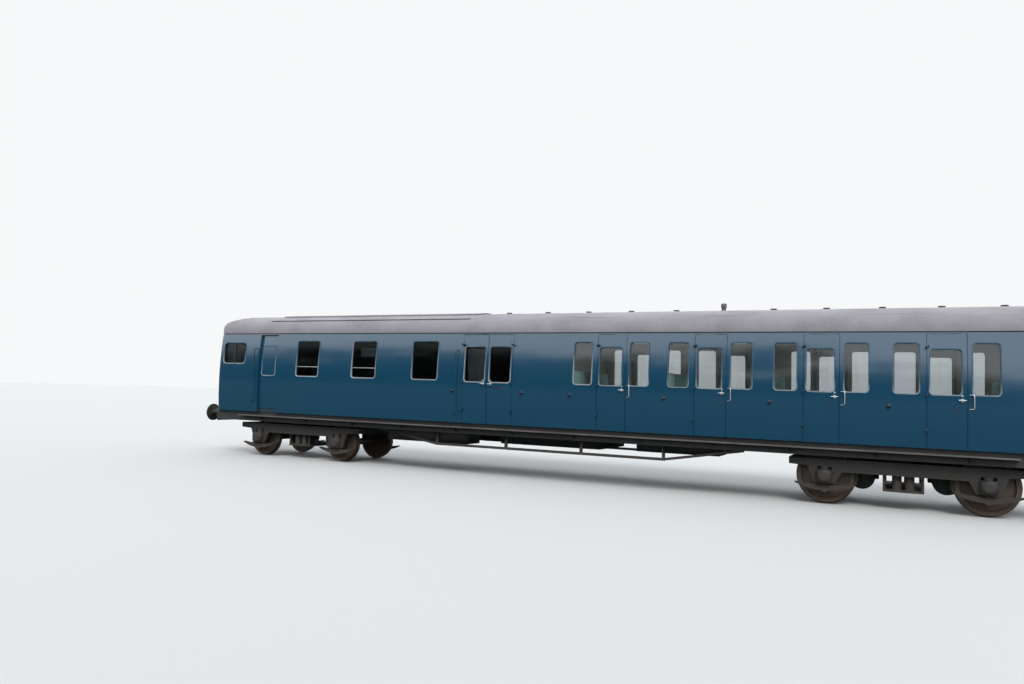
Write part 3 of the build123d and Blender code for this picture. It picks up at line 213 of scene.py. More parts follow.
def addKey():
    bpy.ops.object.light_add(type="SUN")
    key = bpy.context.active_object
    key.name = "keyLight"
    key.data.energy = light["keyStrength"]
    key.data.angle = math.radians(light["keySpread"])
    key.rotation_euler = [math.radians(turn) for turn in light["keyTurn"]]
    key.select_set(False)


addSky()
addKey()
bpy.context.scene.view_settings.view_transform = "Standard"
print("light placed")

# Paint, metal, glass and cloth

filmShape = {
    "edge": (2.2, 6.0, 0.6),  # each noise: scale, detail and roughness
    "edgeDepth": 0.5,
    "runs": (1.0, 5.0, 0.65),
    "runStretch": (14.0, 14.0, 0.9),
    "runSpan": (0.48, 0.78),
    "clouds": (0.9, 7.0, 0.62),
    "cloudSpan": (0.42, 0.72),
    "specks": (90.0, 3.0, 0.6),
    "speckSpan": (0.58, 0.75, 0.0, 0.35),
    "speckBase": 0.75,
    "dullFrom": 0.6,
}


def weatherGroup():
    # Traffic film: dust that rises from below, streaks that run down and fine specks
    group, given, result = startGroup(
        "trafficFilm",
        {
            "Paint": (0.5, 0.5, 0.5),
            "Dust": (0.2, 0.17, 0.14),
            "Low": 1.0,
            "High": 2.0,
            "Low Amount": 0.5,
            "Streaks": 0.3,
            "Patches": 0.3,
            "Smooth": 0.35,
            "Dull": 0.7,
        },
        {"Color": "NodeSocketColor", "Roughness": "NodeSocketFloat", "Mask": "NodeSocketFloat"},
    )
    given = given.outputs
    place = group.nodes.new("ShaderNodeTexCoord").outputs["Object"]
    height = joinUp(group, "ShaderNodeSeparateXYZ", Vector=place).outputs["Z"]
    level = maths(group, "ADD", height, swing(group, place, filmShape["edge"], filmShape["edgeDepth"]))
    down = spread(group, level, given["High"], given["Low"], kind="LINEAR")
    runs = noiseAt(group, place, *filmShape["runs"], filmShape["runStretch"])
    clouds = noiseAt(group, place, *filmShape["clouds"])
    specks = spread(group, noiseAt(group, place, *filmShape["specks"]), *filmShape["speckSpan"])
    lowFilm = maths(group, "MULTIPLY", down, given["Low Amount"])
    runFilm = maths(group, "MULTIPLY", spread(group, runs, *filmShape["runSpan"]), given["Streaks"])
    cloudFilm = maths(group, "MULTIPLY", spread(group, clouds, *filmShape["cloudSpan"]), given["Patches"])
    film = maths(group, "ADD", maths(group, "ADD", lowFilm, runFilm), cloudFilm)
    film = maths(group, "MULTIPLY", film, maths(group, "ADD", specks, filmShape["speckBase"]), True)
    colour = mixColour(group, film, given["Paint"], given["Dust"])
    rough = spread(group, film, 0.0, filmShape["dullFrom"], given["Smooth"], given["Dull"], "LINEAR")
    group.links.new(colour, result.inputs["Color"])
    group.links.new(rough, result.inputs["Roughness"])
    group.links.new(film, result.inputs["Mask"])
    return group


rippleShape = {"wave": (1.5, 0.5), "grain": (3.0, 0.5)}  # detail and roughness


def rippleGroup():
    # Plates that are a little uneven, with the fine texture of brushed paint
    inputs = {"Waves": 0.5, "Grain": 0.2, "Wave Scale": 1.6, "Grain Scale": 60.0}
    group, given, result = startGroup("plateRipple", inputs, {"Height": "NodeSocketFloat"})
    given = given.outputs
    place = group.nodes.new("ShaderNodeTexCoord").outputs["Object"]
    wave = noiseAt(group, place, given["Wave Scale"], *rippleShape["wave"])
    grain = noiseAt(group, place, given["Grain Scale"], *rippleShape["grain"])
    waves = maths(group, "MULTIPLY", wave, given["Waves"])
    grains = maths(group, "MULTIPLY", grain, given["Grain"])
    group.links.new(maths(group, "ADD", waves, grains), result.inputs["Height"])
    return group


trafficFilm = weatherGroup()
plateRipple = rippleGroup()


def startFinish(name):
    finish = bpy.data.materials.new(name)
    finish.use_nodes = True
    tree = finish.node_tree
    return finish, tree, tree.nodes["Principled BSDF"]


def useGroup(tree, group, values):
    node = tree.nodes.new("ShaderNodeGroup")
    node.node_tree = group
    for label, value in values.items():
        node.inputs[label].default_value = withAlpha(value)
    return node


def setInputs(shader, values):
    for label, value in values.items():
        shader.inputs[label].default_value = value


def addFilm(tree, shader, film):
    weather = useGroup(tree, trafficFilm, film)
    tree.links.new(weather.outputs["Color"], shader.inputs["Base Color"])
    tree.links.new(weather.outputs["Roughness"], shader.inputs["Roughness"])


def addBump(tree, shader, height, strength, distance):
    bump = joinUp(tree, "ShaderNodeBump", Height=height, Strength=strength, Distance=distance)
    tree.links.new(bump.outputs["Normal"], shader.inputs["Normal"])


def paintFinish(name, film, ripple, bump=(0.35, 0.004), plain=None):
    finish, tree, shader = startFinish(name)
    addFilm(tree, shader, film)
    addBump(tree, shader, useGroup(tree, plateRipple, ripple).outputs["Height"], *bump)
    setInputs(shader, plain or {})
    return finish


finishes = {}
finishes["body_paint"] = paintFinish(
    "railBlue",
    {
        "Paint": (0.0045, 0.060, 0.118),
        "Dust": (0.022, 0.085, 0.120),
        "Low": 1.12,
        "High": 1.55,
        "Low Amount": 0.09,
        "Streaks": 0.05,
        "Patches": 0.07,
        "Smooth": 0.17,
        "Dull": 0.45,
    },
    {"Waves": 1.0, "Grain": 0.03, "Wave Scale": 2.4, "Grain Scale": 70.0},
    (0.5, 0.006),
    {"Coat Weight": 0.6, "Coat Roughness": 0.05},
)
finishes["front_paint"] = paintFinish(
    "warningYellow",
    {
        "Paint": (0.72, 0.42, 0.02),
        "Dust": (0.16, 0.12, 0.08),
        "Low": 1.1,
        "High": 2.1,
        "Low Amount": 0.40,
        "Streaks": 0.22,
        "Patches": 0.2,
        "Smooth": 0.28,
        "Dull": 0.65,
    },
    {"Waves": 0.7, "Grain": 0.06, "Wave Scale": 2.4, "Grain Scale": 70.0},
)
finishes["roof_paint"] = paintFinish(
    "roofGrey",
    {
        "Paint": (0.315, 0.300, 0.325),
        "Dust": (0.15, 0.14, 0.14),
        "Low": 3.2,
        "High": 3.5,
        "Low Amount": 0.35,
        "Streaks": 0.25,
        "Patches": 0.35,
        "Smooth": 0.6,
        "Dull": 0.85,
    },
    {"Waves": 0.6, "Grain": 0.12, "Wave Scale": 1.8, "Grain Scale": 40.0},
    plain={"Specular IOR Level": 0.2},
)
# Grey of the roof vents, also used on the roof section's edge strips, where its dark grey is painted shade
finishes["vent_metal"] = paintFinish(
    "ventGreyAndEdgeShade",
    {
        "Paint": (0.13, 0.125, 0.125),
        "Dust": (0.035, 0.030, 0.027),
        "Low": 3.6,
        "High": 3.9,
        "Low Amount": 0.6,
        "Streaks": 0.3,
        "Patches": 0.6,
        "Smooth": 0.6,
        "Dull": 0.9,
    },
    {"Waves": 0.2, "Grain": 0.5, "Wave Scale": 8.0, "Grain Scale": 90.0},
)
# Dark navy paint for stops, bumpers and bars; on the gutter lip and the stops behind the door gaps it also
# serves as painted shade
finishes["gutter_paint"] = paintFinish(
    "navyPaintAndShade",
    {
        "Paint": (0.008, 0.022, 0.036),
        "Dust": (0.05, 0.06, 0.07),
        "Low": 3.0,
        "High": 3.2,
        "Low Amount": 0.1,
        "Streaks": 0.2,
        "Patches": 0.25,
        "Smooth": 0.4,
        "Dull": 0.8,
    },
    {"Waves": 0.2, "Grain": 0.3, "Wave Scale": 4.0, "Grain Scale": 90.0},
)
finishes["frame_paint"] = paintFinish(
    "frameBlack",
    {
        "Paint": (0.018, 0.018, 0.019),
        "Dust": (0.085, 0.066, 0.050),
        "Low": 0.2,
        "High": 1.25,
        "Low Amount": 0.55,
        "Streaks": 0.2,
        "Patches": 0.35,
        "Smooth": 0.5,
        "Dull": 0.9,
    },
    {"Waves": 0.3, "Grain": 0.5, "Wave Scale": 5.0, "Grain Scale": 90.0},
)
finishes["inside_paint"] = paintFinish(
    "insideCream",
    {
        "Paint": (0.42, 0.37, 0.27),
        "Dust": (0.16, 0.13, 0.09),
        "Low": 1.2,
        "High": 1.9,
        "Low Amount": 0.3,
        "Streaks": 0.1,
        "Patches": 0.15,
        "Smooth": 0.4,
        "Dull": 0.7,
    },
    {"Waves": 0.2, "Grain": 0.1, "Wave Scale": 3.0, "Grain Scale": 60.0},
)
# Near black for the inner walls of the engine room and van: painted shade of these dim rooms, with a little
# film on top
finishes["dark_room"] = paintFinish(
    "roomShade",
    {
        "Paint": (0.030, 0.030, 0.028),
        "Dust": (0.07, 0.065, 0.055),
        "Low": 1.2,
        "High": 1.9,
        "Low Amount": 0.3,
        "Streaks": 0.2,
        "Patches": 0.3,
        "Smooth": 0.6,
        "Dull": 0.9,
    },
    {"Waves": 0.2, "Grain": 0.3, "Wave Scale": 3.0, "Grain Scale": 60.0},
)
finishes["floor_covering"] = paintFinish(
    "brownLinoleum",
    {
        "Paint": (0.075, 0.055, 0.042),
        "Dust": (0.19, 0.17, 0.15),
        "Low": 1.1,
        "High": 1.4,
        "Low Amount": 0.25,
        "Streaks": 0.1,
        "Patches": 0.4,
        "Smooth": 0.45,
        "Dull": 0.8,
    },
    {"Waves": 0.1, "Grain": 0.2, "Wave Scale": 4.0, "Grain Scale": 120.0},
)
finishes["worn_wood"] = paintFinish(
    "stepWood",
    {
        "Paint": (0.17, 0.155, 0.135),
        "Dust": (0.045, 0.040, 0.036),
        "Low": 1.0,
        "High": 1.2,
        "Low Amount": 0.5,
        "Streaks": 0.3,
        "Patches": 0.75,
        "Smooth": 0.7,
        "Dull": 0.9,
    },
    {"Waves": 0.4, "Grain": 0.5, "Wave Scale": 6.0, "Grain Scale": 80.0},
)
finishes["wheel_steel"] = paintFinish(
    "wheelSteel",
    {
        "Paint": (0.10, 0.080, 0.066),
        "Dust": (0.13, 0.075, 0.045),
        "Low": 0.0,
        "High": 1.0,
        "Low Amount": 0.5,
        "Streaks": 0.2,
        "Patches": 0.5,
        "Smooth": 0.45,
        "Dull": 0.85,
    },
    {"Waves": 0.2, "Grain": 0.5, "Wave Scale": 6.0, "Grain Scale": 90.0},
    plain={"Metallic": 0.6},
)
finishes["bright_metal"] = paintFinish(
    "brightMetal",
    {
        "Paint": (0.62, 0.63, 0.64),
        "Dust": (0.26, 0.25, 0.24),
        "Low": 1.0,
        "High": 2.0,
        "Low Amount": 0.2,
        "Streaks": 0.25,
        "Patches": 0.35,
        "Smooth": 0.25,
        "Dull": 0.6,
    },
    {"Waves": 0.2, "Grain": 0.3, "Wave Scale": 8.0, "Grain Scale": 150.0},
    plain={"Metallic": 0.75},
)
# Both rim finishes go pale towards the bottom and stay blue above
finishes["rim_metal"] = paintFinish(
    "paleFootRims",
    {
        "Paint": (0.016, 0.070, 0.115),
        "Dust": (0.46, 0.49, 0.50),
        "Low": 2.20,
        "High": 2.80,
        "Low Amount": 0.85,
        "Streaks": 0.25,
        "Patches": 0.55,
        "Smooth": 0.35,
        "Dull": 0.45,
    },
    {"Waves": 0.1, "Grain": 0.3, "Wave Scale": 8.0, "Grain Scale": 120.0},
)
finishes["dull_rims"] = paintFinish(
    "dullRims",
    {
        "Paint": (0.014, 0.070, 0.120),
        "Dust": (0.30, 0.35, 0.38),
        "Low": 2.15,
        "High": 2.35,
        "Low Amount": 0.85,
        "Streaks": 0.20,
        "Patches": 0.35,
        "Smooth": 0.35,
        "Dull": 0.45,
    },
    {"Waves": 0.1, "Grain": 0.3, "Wave Scale": 8.0, "Grain Scale": 120.0},
)
finishes["black_rubber"] = paintFinish(
    "blackRubber",
    {
        "Paint": (0.012, 0.012, 0.013),
        "Dust": (0.05, 0.048, 0.046),
        "Low": 1.0,
        "High": 2.2,
        "Low Amount": 0.2,
        "Streaks": 0.1,
        "Patches": 0.3,
        "Smooth": 0.6,
        "Dull": 0.9,
    },
    {"Waves": 0.1, "Grain": 0.5, "Wave Scale": 8.0, "Grain Scale": 150.0},
)


def glassFinish(name, tint, grime, amount, bend):
    finish, tree, shader = startFinish(name)
    film = {
        "Paint": tint,
        "Dust": grime,
        "Low": 2.05,
        "High": 2.45,
        "Low Amount": amount,
        "Streaks": amount,
        "Patches": amount,
        "Smooth": 0.0,
        "Dull": 0.08,
    }
    addFilm(tree, shader, film)
    setInputs(shader, {"Transmission Weight": 1.0, "IOR": bend})
    # Light passes into the rooms as if the pane weren't there
    solid = maths(tree, "SUBTRACT", 1.0, eitherRay(tree, "Shadow", "Diffuse"))
    tree.links.new(solid, shader.inputs["Alpha"])
    return finish


finishes["window_glass"] = glassFinish("windowGlass", (0.60, 0.63, 0.64), (0.40, 0.41, 0.40), 0.12, 1.5)
# Dark glass: partly grime, partly painted shade of the dim rooms seen through it
finishes["grimy_glass"] = glassFinish("grimyShadedGlass", (0.15, 0.17, 0.18), (0.05, 0.055, 0.05), 0.35, 1.17)

moquette = {
    "threads": 60.0,
    "waver": 0.6,
    "low": (0.25, 0.60, 0.50),
    "high": (0.38, 0.76, 0.64),
    "worn": (0.42, 0.70, 0.60),
    "wear": (5.0, 5.0, 0.55),  # scale, detail and roughness
    "wearSpan": (0.45, 0.8, 0.0, 0.5),
    "bump": (0.4, 0.002),
    "plain": {"Roughness": 0.9, "Sheen Weight": 0.3},
}


def clothFinish():
    finish, tree, shader = startFinish("tealMoquette")
    place = tree.nodes.new("ShaderNodeTexCoord").outputs["Object"]
    shared = {"Vector": place, "Scale": moquette["threads"], "Distortion": moquette["waver"]}
    threads = []
    for way in ("Y", "Z"):
        threads.append(joinUp(tree, "ShaderNodeTexWave", {"bands_direction": way}, **shared).outputs["Fac"])
    weave = maths(tree, "MULTIPLY", *threads)
    wear = spread(tree, noiseAt(tree, place, *moquette["wear"]), *moquette["wearSpan"])
    colour = mixColour(tree, weave, moquette["low"], moquette["high"])
    tree.links.new(mixColour(tree, wear, colour, moquette["worn"]), shader.inputs["Base Color"])
    setInputs(shader, moquette["plain"])
    addBump(tree, shader, weave, *moquette["bump"])
    return finish


finishes["seat_cloth"] = clothFinish()
print("finishes made")

# Floor of the studio: pale to the camera, dark to the rays that would light the coach from below

floorPlate = {"colour": (0.72, 0.72, 0.71), "otherRays": (0.03, 0.06, 0.065), "size": 400.0, "dull": 0.9}


def addFloor():
    bpy.ops.mesh.primitive_plane_add(size=floorPlate["size"])
    ground = bpy.context.active_object
    ground.name = "studioFloor"
    finish, tree, shader = startFinish("studioFloor")
    seen = eitherRay(tree, "Camera", "Transmission")
    colour = mixColour(tree, seen, floorPlate["otherRays"], floorPlate["colour"])
    tree.links.new(colour, shader.inputs["Base Color"])
    setInputs(shader, {"Roughness": floorPlate["dull"]})
    ground.data.materials.append(finish)
    ground.select_set(False)


addFloor()

# Lines of the body: its side is one arc, its roof two and its front one

bodyLine = {"sill": (1.325, 1.179), "waist": (1.372, 2.029), "gutter": (1.290, 3.259)}
roofLine = {
    "crownRadius": 2.6,
    "crownTop": 3.809,
    "shoulderRadius": 0.45,
    "foot": 1.282,
    "cuts": (-7.8, 9.2, 1.0),  # start, end and step of the cuts across
}
noseLine = {"bowRadius": 13.0, "bowCentre": 3.35, "paintEdge": -9.53, "end": -9.65}
crownZ = roofLine["crownTop"] - roofLine["crownRadius"]


def arcThrough(a, b, c):
    # Centre and radius of the arc through three points
    d = 2 * (a[0] * (b[1] - c[1]) + b[0] * (c[1] - a[1]) + c[0] * (a[1] - b[1]))
    squares = [p[0] ** 2 + p[1] ** 2 for p in (a, b, c)]
    y = (squares[0] * (b[1] - c[1]) + squares[1] * (c[1] - a[1]) + squares[2] * (a[1] - b[1])) / d
    z = (squares[0] * (c[0] - b[0]) + squares[1] * (a[0] - c[0]) + squares[2] * (b[0] - a[0])) / d
    return y, z, math.hypot(a[0] - y, a[1] - z)


arcY, arcZ, arcRadius = arcThrough(bodyLine["sill"], bodyLine["waist"], bodyLine["gutter"])


def sideY(z):
    # Half the body's width at a height
    return arcY + math.sqrt(max(arcRadius**2 - (z - arcZ) ** 2, 0.0))


def sideOf(low):
    return 1 if low[1] > 0 else -1


def shoulderCentre():
    # Centre of the roof's shoulder arc, which meets the crown arc smoothly
    rise = bodyLine["gutter"][1] - crownZ
    toFoot = math.hypot(roofLine["foot"], rise)
    reach = roofLine["crownRadius"] - roofLine["shoulderRadius"]
    cosine = (toFoot**2 + reach**2 - roofLine["shoulderRadius"] ** 2) / (2 * toFoot * reach)
    angle = math.atan2(roofLine["foot"], rise) - math.acos(cosine)
    return reach * math.sin(angle), crownZ + reach * math.cos(angle)


# Normals of the plates that are rolled or bowed, so that long facets don't show

rolled = {
    "centres": [(arcY, arcZ), (0.0, crownZ), shoulderCentre()],
    "sides": ("body_side", "cab_door", "cab_front", "fixed_glass", "passenger_door", "van_door"),
    "tops": ("cantrails", "roof"),
    "even": 0.0012,
    "facing": 0.955,
    "endWays": 0.02,
    "frontWays": -0.9,
}


def spokesOf(mesh, face, centre):
    # Directions from an arc's centre to a face's corners, or nothing where the face isn't on it
    spokes = []
    for index in face.vertices:
        place = mesh.vertices[index].co
        side = 1.0 if place.y >= 0 else -1.0
        spokes.append(Vector((0.0, place.y - side * centre[0], place.z - centre[1])))
    lengths = [spoke.length for spoke in spokes]
    if max(lengths) - min(lengths) > rolled["even"]:
        return None
    spokes = [spoke.normalized() for spoke in spokes]
    facing = [face.normal.dot(spoke) for spoke in spokes]
    if min(abs(value) for value in facing) < rolled["facing"]:
        return None
    way = 1.0 if facing[0] > 0 else -1.0
    return [spoke * way for spoke in spokes]


def rolledSpokes(mesh, face):
    if abs(face.normal.x) > rolled["endWays"]:
        return None
    for centre in rolled["centres"]:
        spokes = spokesOf(mesh, face, centre)
        if spokes:
            return spokes
    return None


def bowedSpokes(mesh, face):
    # The outer faces of the cab's front
    if face.normal.x > rolled["frontWays"]:
        return None
    spokes = []
    for index in face.vertices:
        place = mesh.vertices[index].co
        spokes.append(Vector((place.x - noseLine["bowCentre"], place.y, 0.0)))
    if max(abs(spoke.length - noseLine["bowRadius"]) for spoke in spokes) < rolled["even"]:
        return [spoke.normalized() for spoke in spokes]
    return None


def setNormals(piece, spokesFor):
    mesh = piece.data
    found = [Vector(corner.vector) for corner in mesh.corner_normals]
    for face in mesh.polygons:
        for corner, spoke in zip(face.loop_indices, spokesFor(mesh, face) or ()):
            found[corner] = spoke
    mesh.normals_split_custom_set(found)


# Frame pieces, merged and smoothed

skin = {
    "angle": 32.0,
    "wheelAngle": 20.0,
    "merge": 0.00005,
    "roofMerge": 0.0005,
    "flat": 0.3,
    "edgeAngle": 40,
    "rounded": {"seat_bases": 0.006, "engine_set": 0.01, "cab_furniture": 0.008},
    "flattened": ("wheelset", "end_wall"),
    "soft": ("seat_backs", "seat_cushions"),
}


def activate(piece):
    bpy.ops.object.select_all(action="DESELECT")
    piece.select_set(True)
    bpy.context.view_layer.objects.active = piece


def copyMerged(node, name, distance):
    # A copy of a frame piece, left in edit mode with its double points merged
    piece = bpy.data.objects.new(name, nodes[node].data.copy())
    bpy.context.collection.objects.link(piece)
    activate(piece)
    bpy.ops.object.mode_set(mode="EDIT")
    bpy.ops.mesh.select_all(action="SELECT")
    bpy.ops.mesh.remove_doubles(threshold=distance)
    return piece


def cutAlong(start, end, step):
    # Cuts across at even steps
    for number in range(int((end - start) / step) + 1):
        bpy.ops.mesh.select_all(action="SELECT")
        bpy.ops.mesh.bisect(plane_co=(start + number * step, 0.0, 0.0), plane_no=(1.0, 0.0, 0.0))


def dressNode(node):
    edge = skin["rounded"].get(node, 0.0)
    smooth = skin["wheelAngle"] if node.startswith("wheelset") else skin["angle"]
    piece = copyMerged(node, node + "_skin", skin["roofMerge"] if node == "roof" else skin["merge"])
    if node == "roof":
        cutAlong(*roofLine["cuts"])
    if node == "cab_front":
        cutAlong(noseLine["paintEdge"], noseLine["paintEdge"], 1.0)
    if edge > 0 or node.startswith(skin["flattened"]):
        bpy.ops.mesh.dissolve_limited(angle_limit=math.radians(skin["flat"]))
    bpy.ops.object.mode_set(mode="OBJECT")
    if edge > 0:
        rounding = piece.modifiers.new("rounding", "BEVEL")
        rounding.width = edge
        rounding.segments = 2
        rounding.limit_method = "ANGLE"
        rounding.angle_limit = math.radians(skin["edgeAngle"])
        bpy.ops.object.modifier_apply(modifier="rounding")
    bpy.ops.object.shade_smooth_by_angle(angle=math.radians(smooth))
    level = piece.modifiers.new("level", "WEIGHTED_NORMAL")
    level.keep_sharp = True
    bpy.ops.object.modifier_apply(modifier="level")
    if node.startswith(rolled["sides"] + rolled["tops"]):
        setNormals(piece, rolledSpokes)
    if node == "cab_front":
        setNormals(piece, bowedSpokes)
    piece.data.materials.clear()
    piece.data.materials.append(finishes[slotOf[node]])
    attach(piece, bodyOf[node])
    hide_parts(node)
    piece.select_set(False)
    return piece


dressed = {}
for nodeName in sorted(nodes):
    if nodeName not in skin["soft"]:
        dressed[nodeName] = dressNode(nodeName)
print("frame pieces dressed")


def paintFaces(piece, finish, wanted):
    # Faces whose centre and normal pass the test take that finish
    piece.data.materials.append(finishes[finish])
    index = len(piece.data.materials) - 1
    for face in piece.data.polygons:
        if wanted(face.center, face.normal):
            face.material_index = index
    return index


# Door furniture: bright handles, dark bumpers and levers on the painted leaves

doorTrim = {
    "proud": 0.0015,
    "hingeZone": 0.12,
    "bumperTop": 1.95,
    "leverTop": 2.045,
    "leverEnd": 0.46,  # from the hinge
}
hingeX = {}
for joint in frame["record"]["behaviour"]["joints"]:
    hingeX[joint["child"]] = joint["pos_m"][0]


def trimDoor(door):
    def fromHinge(centre):
        return abs(centre.x - hingeX[door])

    def isProud(centre):
        clear = abs(centre.y) - sideY(centre.z) > doorTrim["proud"]
        return clear and fromHinge(centre) > doorTrim["hingeZone"]

    def isHandle(centre, normal):
        return isProud(centre) and centre.z > doorTrim["bumperTop"]

    def isDark(centre, normal):
        if isProud(centre) and centre.z < doorTrim["bumperTop"]:
            return True
        isLever = fromHinge(centre) < doorTrim["leverEnd"] or centre.z < doorTrim["leverTop"]
        return door.endswith("rear") and isHandle(centre, normal) and isLever

    paintFaces(dressed[door], "bright_metal", isHandle)
    paintFaces(dressed[door], "gutter_paint", isDark)


leaves = []
for nodeName in sorted(nodes):
    if "door_" in nodeName and "glass" not in nodeName and nodeName not in ("door_hinges", "door_stops"):
        leaves.append(nodeName)
for door in leaves:
    if not door.startswith("cab"):
        trimDoor(door)

# Rooms behind the paint, the engine room and van near black as painted shade, a gutter lip near black,
# partly its dark paint and partly painted shade of the shadow under it, and the floor's edge and underside

room = {"engineEnd": -2.0, "innerFace": -0.5, "gutterFoot": 3.24, "lip": 0.0005, "floorFace": 0.5}


def facesInward(centre, normal):
    return normal.y * (1.0 if centre.y > 0 else -1.0) < room["innerFace"]


def isSaloon(centre):
    return centre.x > room["engineEnd"]


def isLip(centre, normal):
    return centre.z > room["gutterFoot"] and abs(centre.y) > sideY(centre.z) + room["lip"]


for nodeName in sorted(dressed):
    if nodeName.startswith("body_side") or nodeName in leaves or nodeName == "cantrails":
        paintFaces(dressed[nodeName], "inside_paint", lambda c, n: facesInward(c, n) and isSaloon(c))
        paintFaces(dressed[nodeName], "dark_room", lambda c, n: facesInward(c, n) and not isSaloon(c))
# The gutter lip is painted near black: partly the gutter's own dark paint, partly painted shade of the
# shadow line under the lip
paintFaces(dressed["cantrails"], "gutter_paint", isLip)
paintFaces(dressed["floor"], "gutter_paint", lambda c, n: abs(n.z) < room["floorFace"])
paintFaces(dressed["floor"], "frame_paint", lambda c, n: n.z < -room["floorFace"])
paintFaces(dressed["bulkheads"], "dark_room", lambda c, n: not isSaloon(c))

# Glass of the engine room, van and cab is grimy, and dark as painted shade of the dim rooms behind it

paintFaces(dressed["fixed_glass"], "grimy_glass", lambda c, n: not isSaloon(c))
for nodeName in sorted(n for n in nodes if n.startswith("van_door_glass")):
    dressed[nodeName].data.materials[0] = finishes["grimy_glass"]

# Rails: painted long handrails, bright grab handles and guards inside the windows

railTrim = {"grabFoot": 1.87, "grabHead": 2.18, "guardIn": 0.03}
bars = dressed["handrails"]
bars.data.materials[0] = finishes["body_paint"]
barBright = paintFaces(bars, "bright_metal", lambda c, n: abs(c.y) < sideY(c.z) - railTrim["guardIn"])


def brightGrabs():
    # The short cranked bars by the passenger doors, told by the height that each loose bar spans
    mesh = bars.data
    group = list(range(len(mesh.vertices)))

    def root(index):
        while group[index] != index:
            group[index] = group[group[index]]
            index = group[index]
        return index

    for edge in mesh.edges:
        a, b = root(edge.vertices[0]), root(edge.vertices[1])
        group[a] = b
    span = {}
    for vertex in mesh.vertices:
        low, high = span.get(root(vertex.index), (math.inf, -math.inf))
        span[root(vertex.index)] = (min(low, vertex.co.z), max(high, vertex.co.z))
    for face in mesh.polygons:
        low, high = span[root(face.vertices[0])]
        if low > railTrim["grabFoot"] and high < railTrim["grabHead"]:
            face.material_index = barBright


brightGrabs()
dressed["door_hinges"].data.materials[0] = finishes["body_paint"]
dressed["door_stops"].data.materials[0] = finishes["gutter_paint"]
dressed["roof_vents"].data.materials[0] = finishes["vent_metal"]

# Cab front: blue returns along the sides, and black for what stands proud of it beside the middle

noseTrim = {"returns": 1.2, "proud": 0.002, "middle": 0.30}


def isReturn(centre, normal):
    return centre.x > noseLine["paintEdge"] and abs(centre.y) > noseTrim["returns"]


def isProudOfNose(centre, normal):
    return centre.x < noseLine["end"] - noseTrim["proud"] and abs(centre.y) > noseTrim["middle"]


paintFaces(dressed["cab_front"], "body_paint", isReturn)
paintFaces(dressed["cab_front"], "frame_paint", isProudOfNose)

# Helpers for the trim that is modelled here


def joinPieces(pieces, name):
    bpy.ops.object.select_all(action="DESELECT")
    for piece in pieces:
        piece.select_set(True)
    bpy.context.view_layer.objects.active = pieces[0]
    bpy.ops.object.join()
    whole = bpy.context.active_object
    whole.name = name
    whole.select_set(False)
    return whole


def splitLoose(node):
    copyMerged(node, node + "_part", skin["merge"])
    bpy.ops.mesh.separate(type="LOOSE")
    bpy.ops.object.mode_set(mode="OBJECT")
    return [part for part in bpy.context.selected_objects if part.type == "MESH"]


def boxOf(piece):
    corners = [vertex.co for vertex in piece.data.vertices]
    low = Vector([min(c[i] for c in corners) for i in range(3)])
    high = Vector([max(c[i] for c in corners) for i in range(3)])
    return low, high


def loosePanes(node):
    # Boxes of the panes that one node holds, from the cab end on
    boxes = []
    for part in splitLoose(node):
        boxes.append(boxOf(part))
        bpy.data.objects.remove(part, do_unlink=True)
    return sorted(boxes, key=lambda box: (*box[0], *box[1]))


def uprightPlane(name, middle, width, height):
    bpy.ops.object.select_all(action="DESELECT")
    bpy.ops.mesh.primitive_plane_add(size=1.0, location=middle, rotation=(math.pi / 2, 0.0, 0.0))
    piece = bpy.context.active_object
    piece.name = name
    piece.scale = (width, height, 1.0)
    bpy.ops.object.transform_apply(location=True, rotation=True, scale=True)
    return piece


def cutLevels(z0, z1, parts):
    # Level cuts in edit mode, so that a flat piece can bend to the body's side
    for step in range(1, parts):
        bpy.ops.mesh.select_all(action="SELECT")
        height = z0 + (z1 - z0) * step / parts
        bpy.ops.mesh.bisect(plane_co=(0.0, 0.0, height), plane_no=(0.0, 0.0, 1.0))


def roundEdges(piece, width, smooth):
    edges = piece.modifiers.new("edges", "BEVEL")
    edges.width = width
    edges.segments = 2
    edges.limit_method = "ANGLE"
    bpy.ops.object.modifier_apply(modifier="edges")
    bpy.ops.object.shade_smooth_by_angle(angle=math.radians(smooth))


def setFinish(piece, finish):
    piece.data.materials.append(finishes[finish])
    piece.select_set(False)


# Seats: sprung cushions and backs, blown up from the frame's plain pads

pad = {
    "shrink": 0.006,
    "capShare": 0.45,
    "voxel": 0.026,
    "pressure": 3.0,
    "quality": 4,
    "frames": 14,
    "backCap": 0.022,
    "cushionCap": 0.020,
    "relax": 3,
    "relaxShare": 0.5,
    "margin": 0.0005,
}


def inflate(piece, cap):
    # Blows the pad up as cloth, and holds every point near its start
    start = [vertex.co.copy() for vertex in piece.data.vertices]
    cloth = piece.modifiers.new("cloth", "CLOTH")
    cloth.settings.use_pressure = True
    cloth.settings.uniform_pressure_force = pad["pressure"]
    cloth.settings.effector_weights.gravity = 0.0
    cloth.settings.quality = pad["quality"]
    cloth.point_cache.frame_start = 1
    cloth.point_cache.frame_end = pad["frames"]
    for step in range(1, pad["frames"] + 1):
        bpy.context.scene.frame_set(step)
    bpy.ops.object.modifier_apply(modifier="cloth")
    for vertex, place in zip(piece.data.vertices, start):
        move = vertex.co - place
        if move.length > cap:
            vertex.co = place + move.normalized() * cap
    bpy.context.scene.frame_set(1)


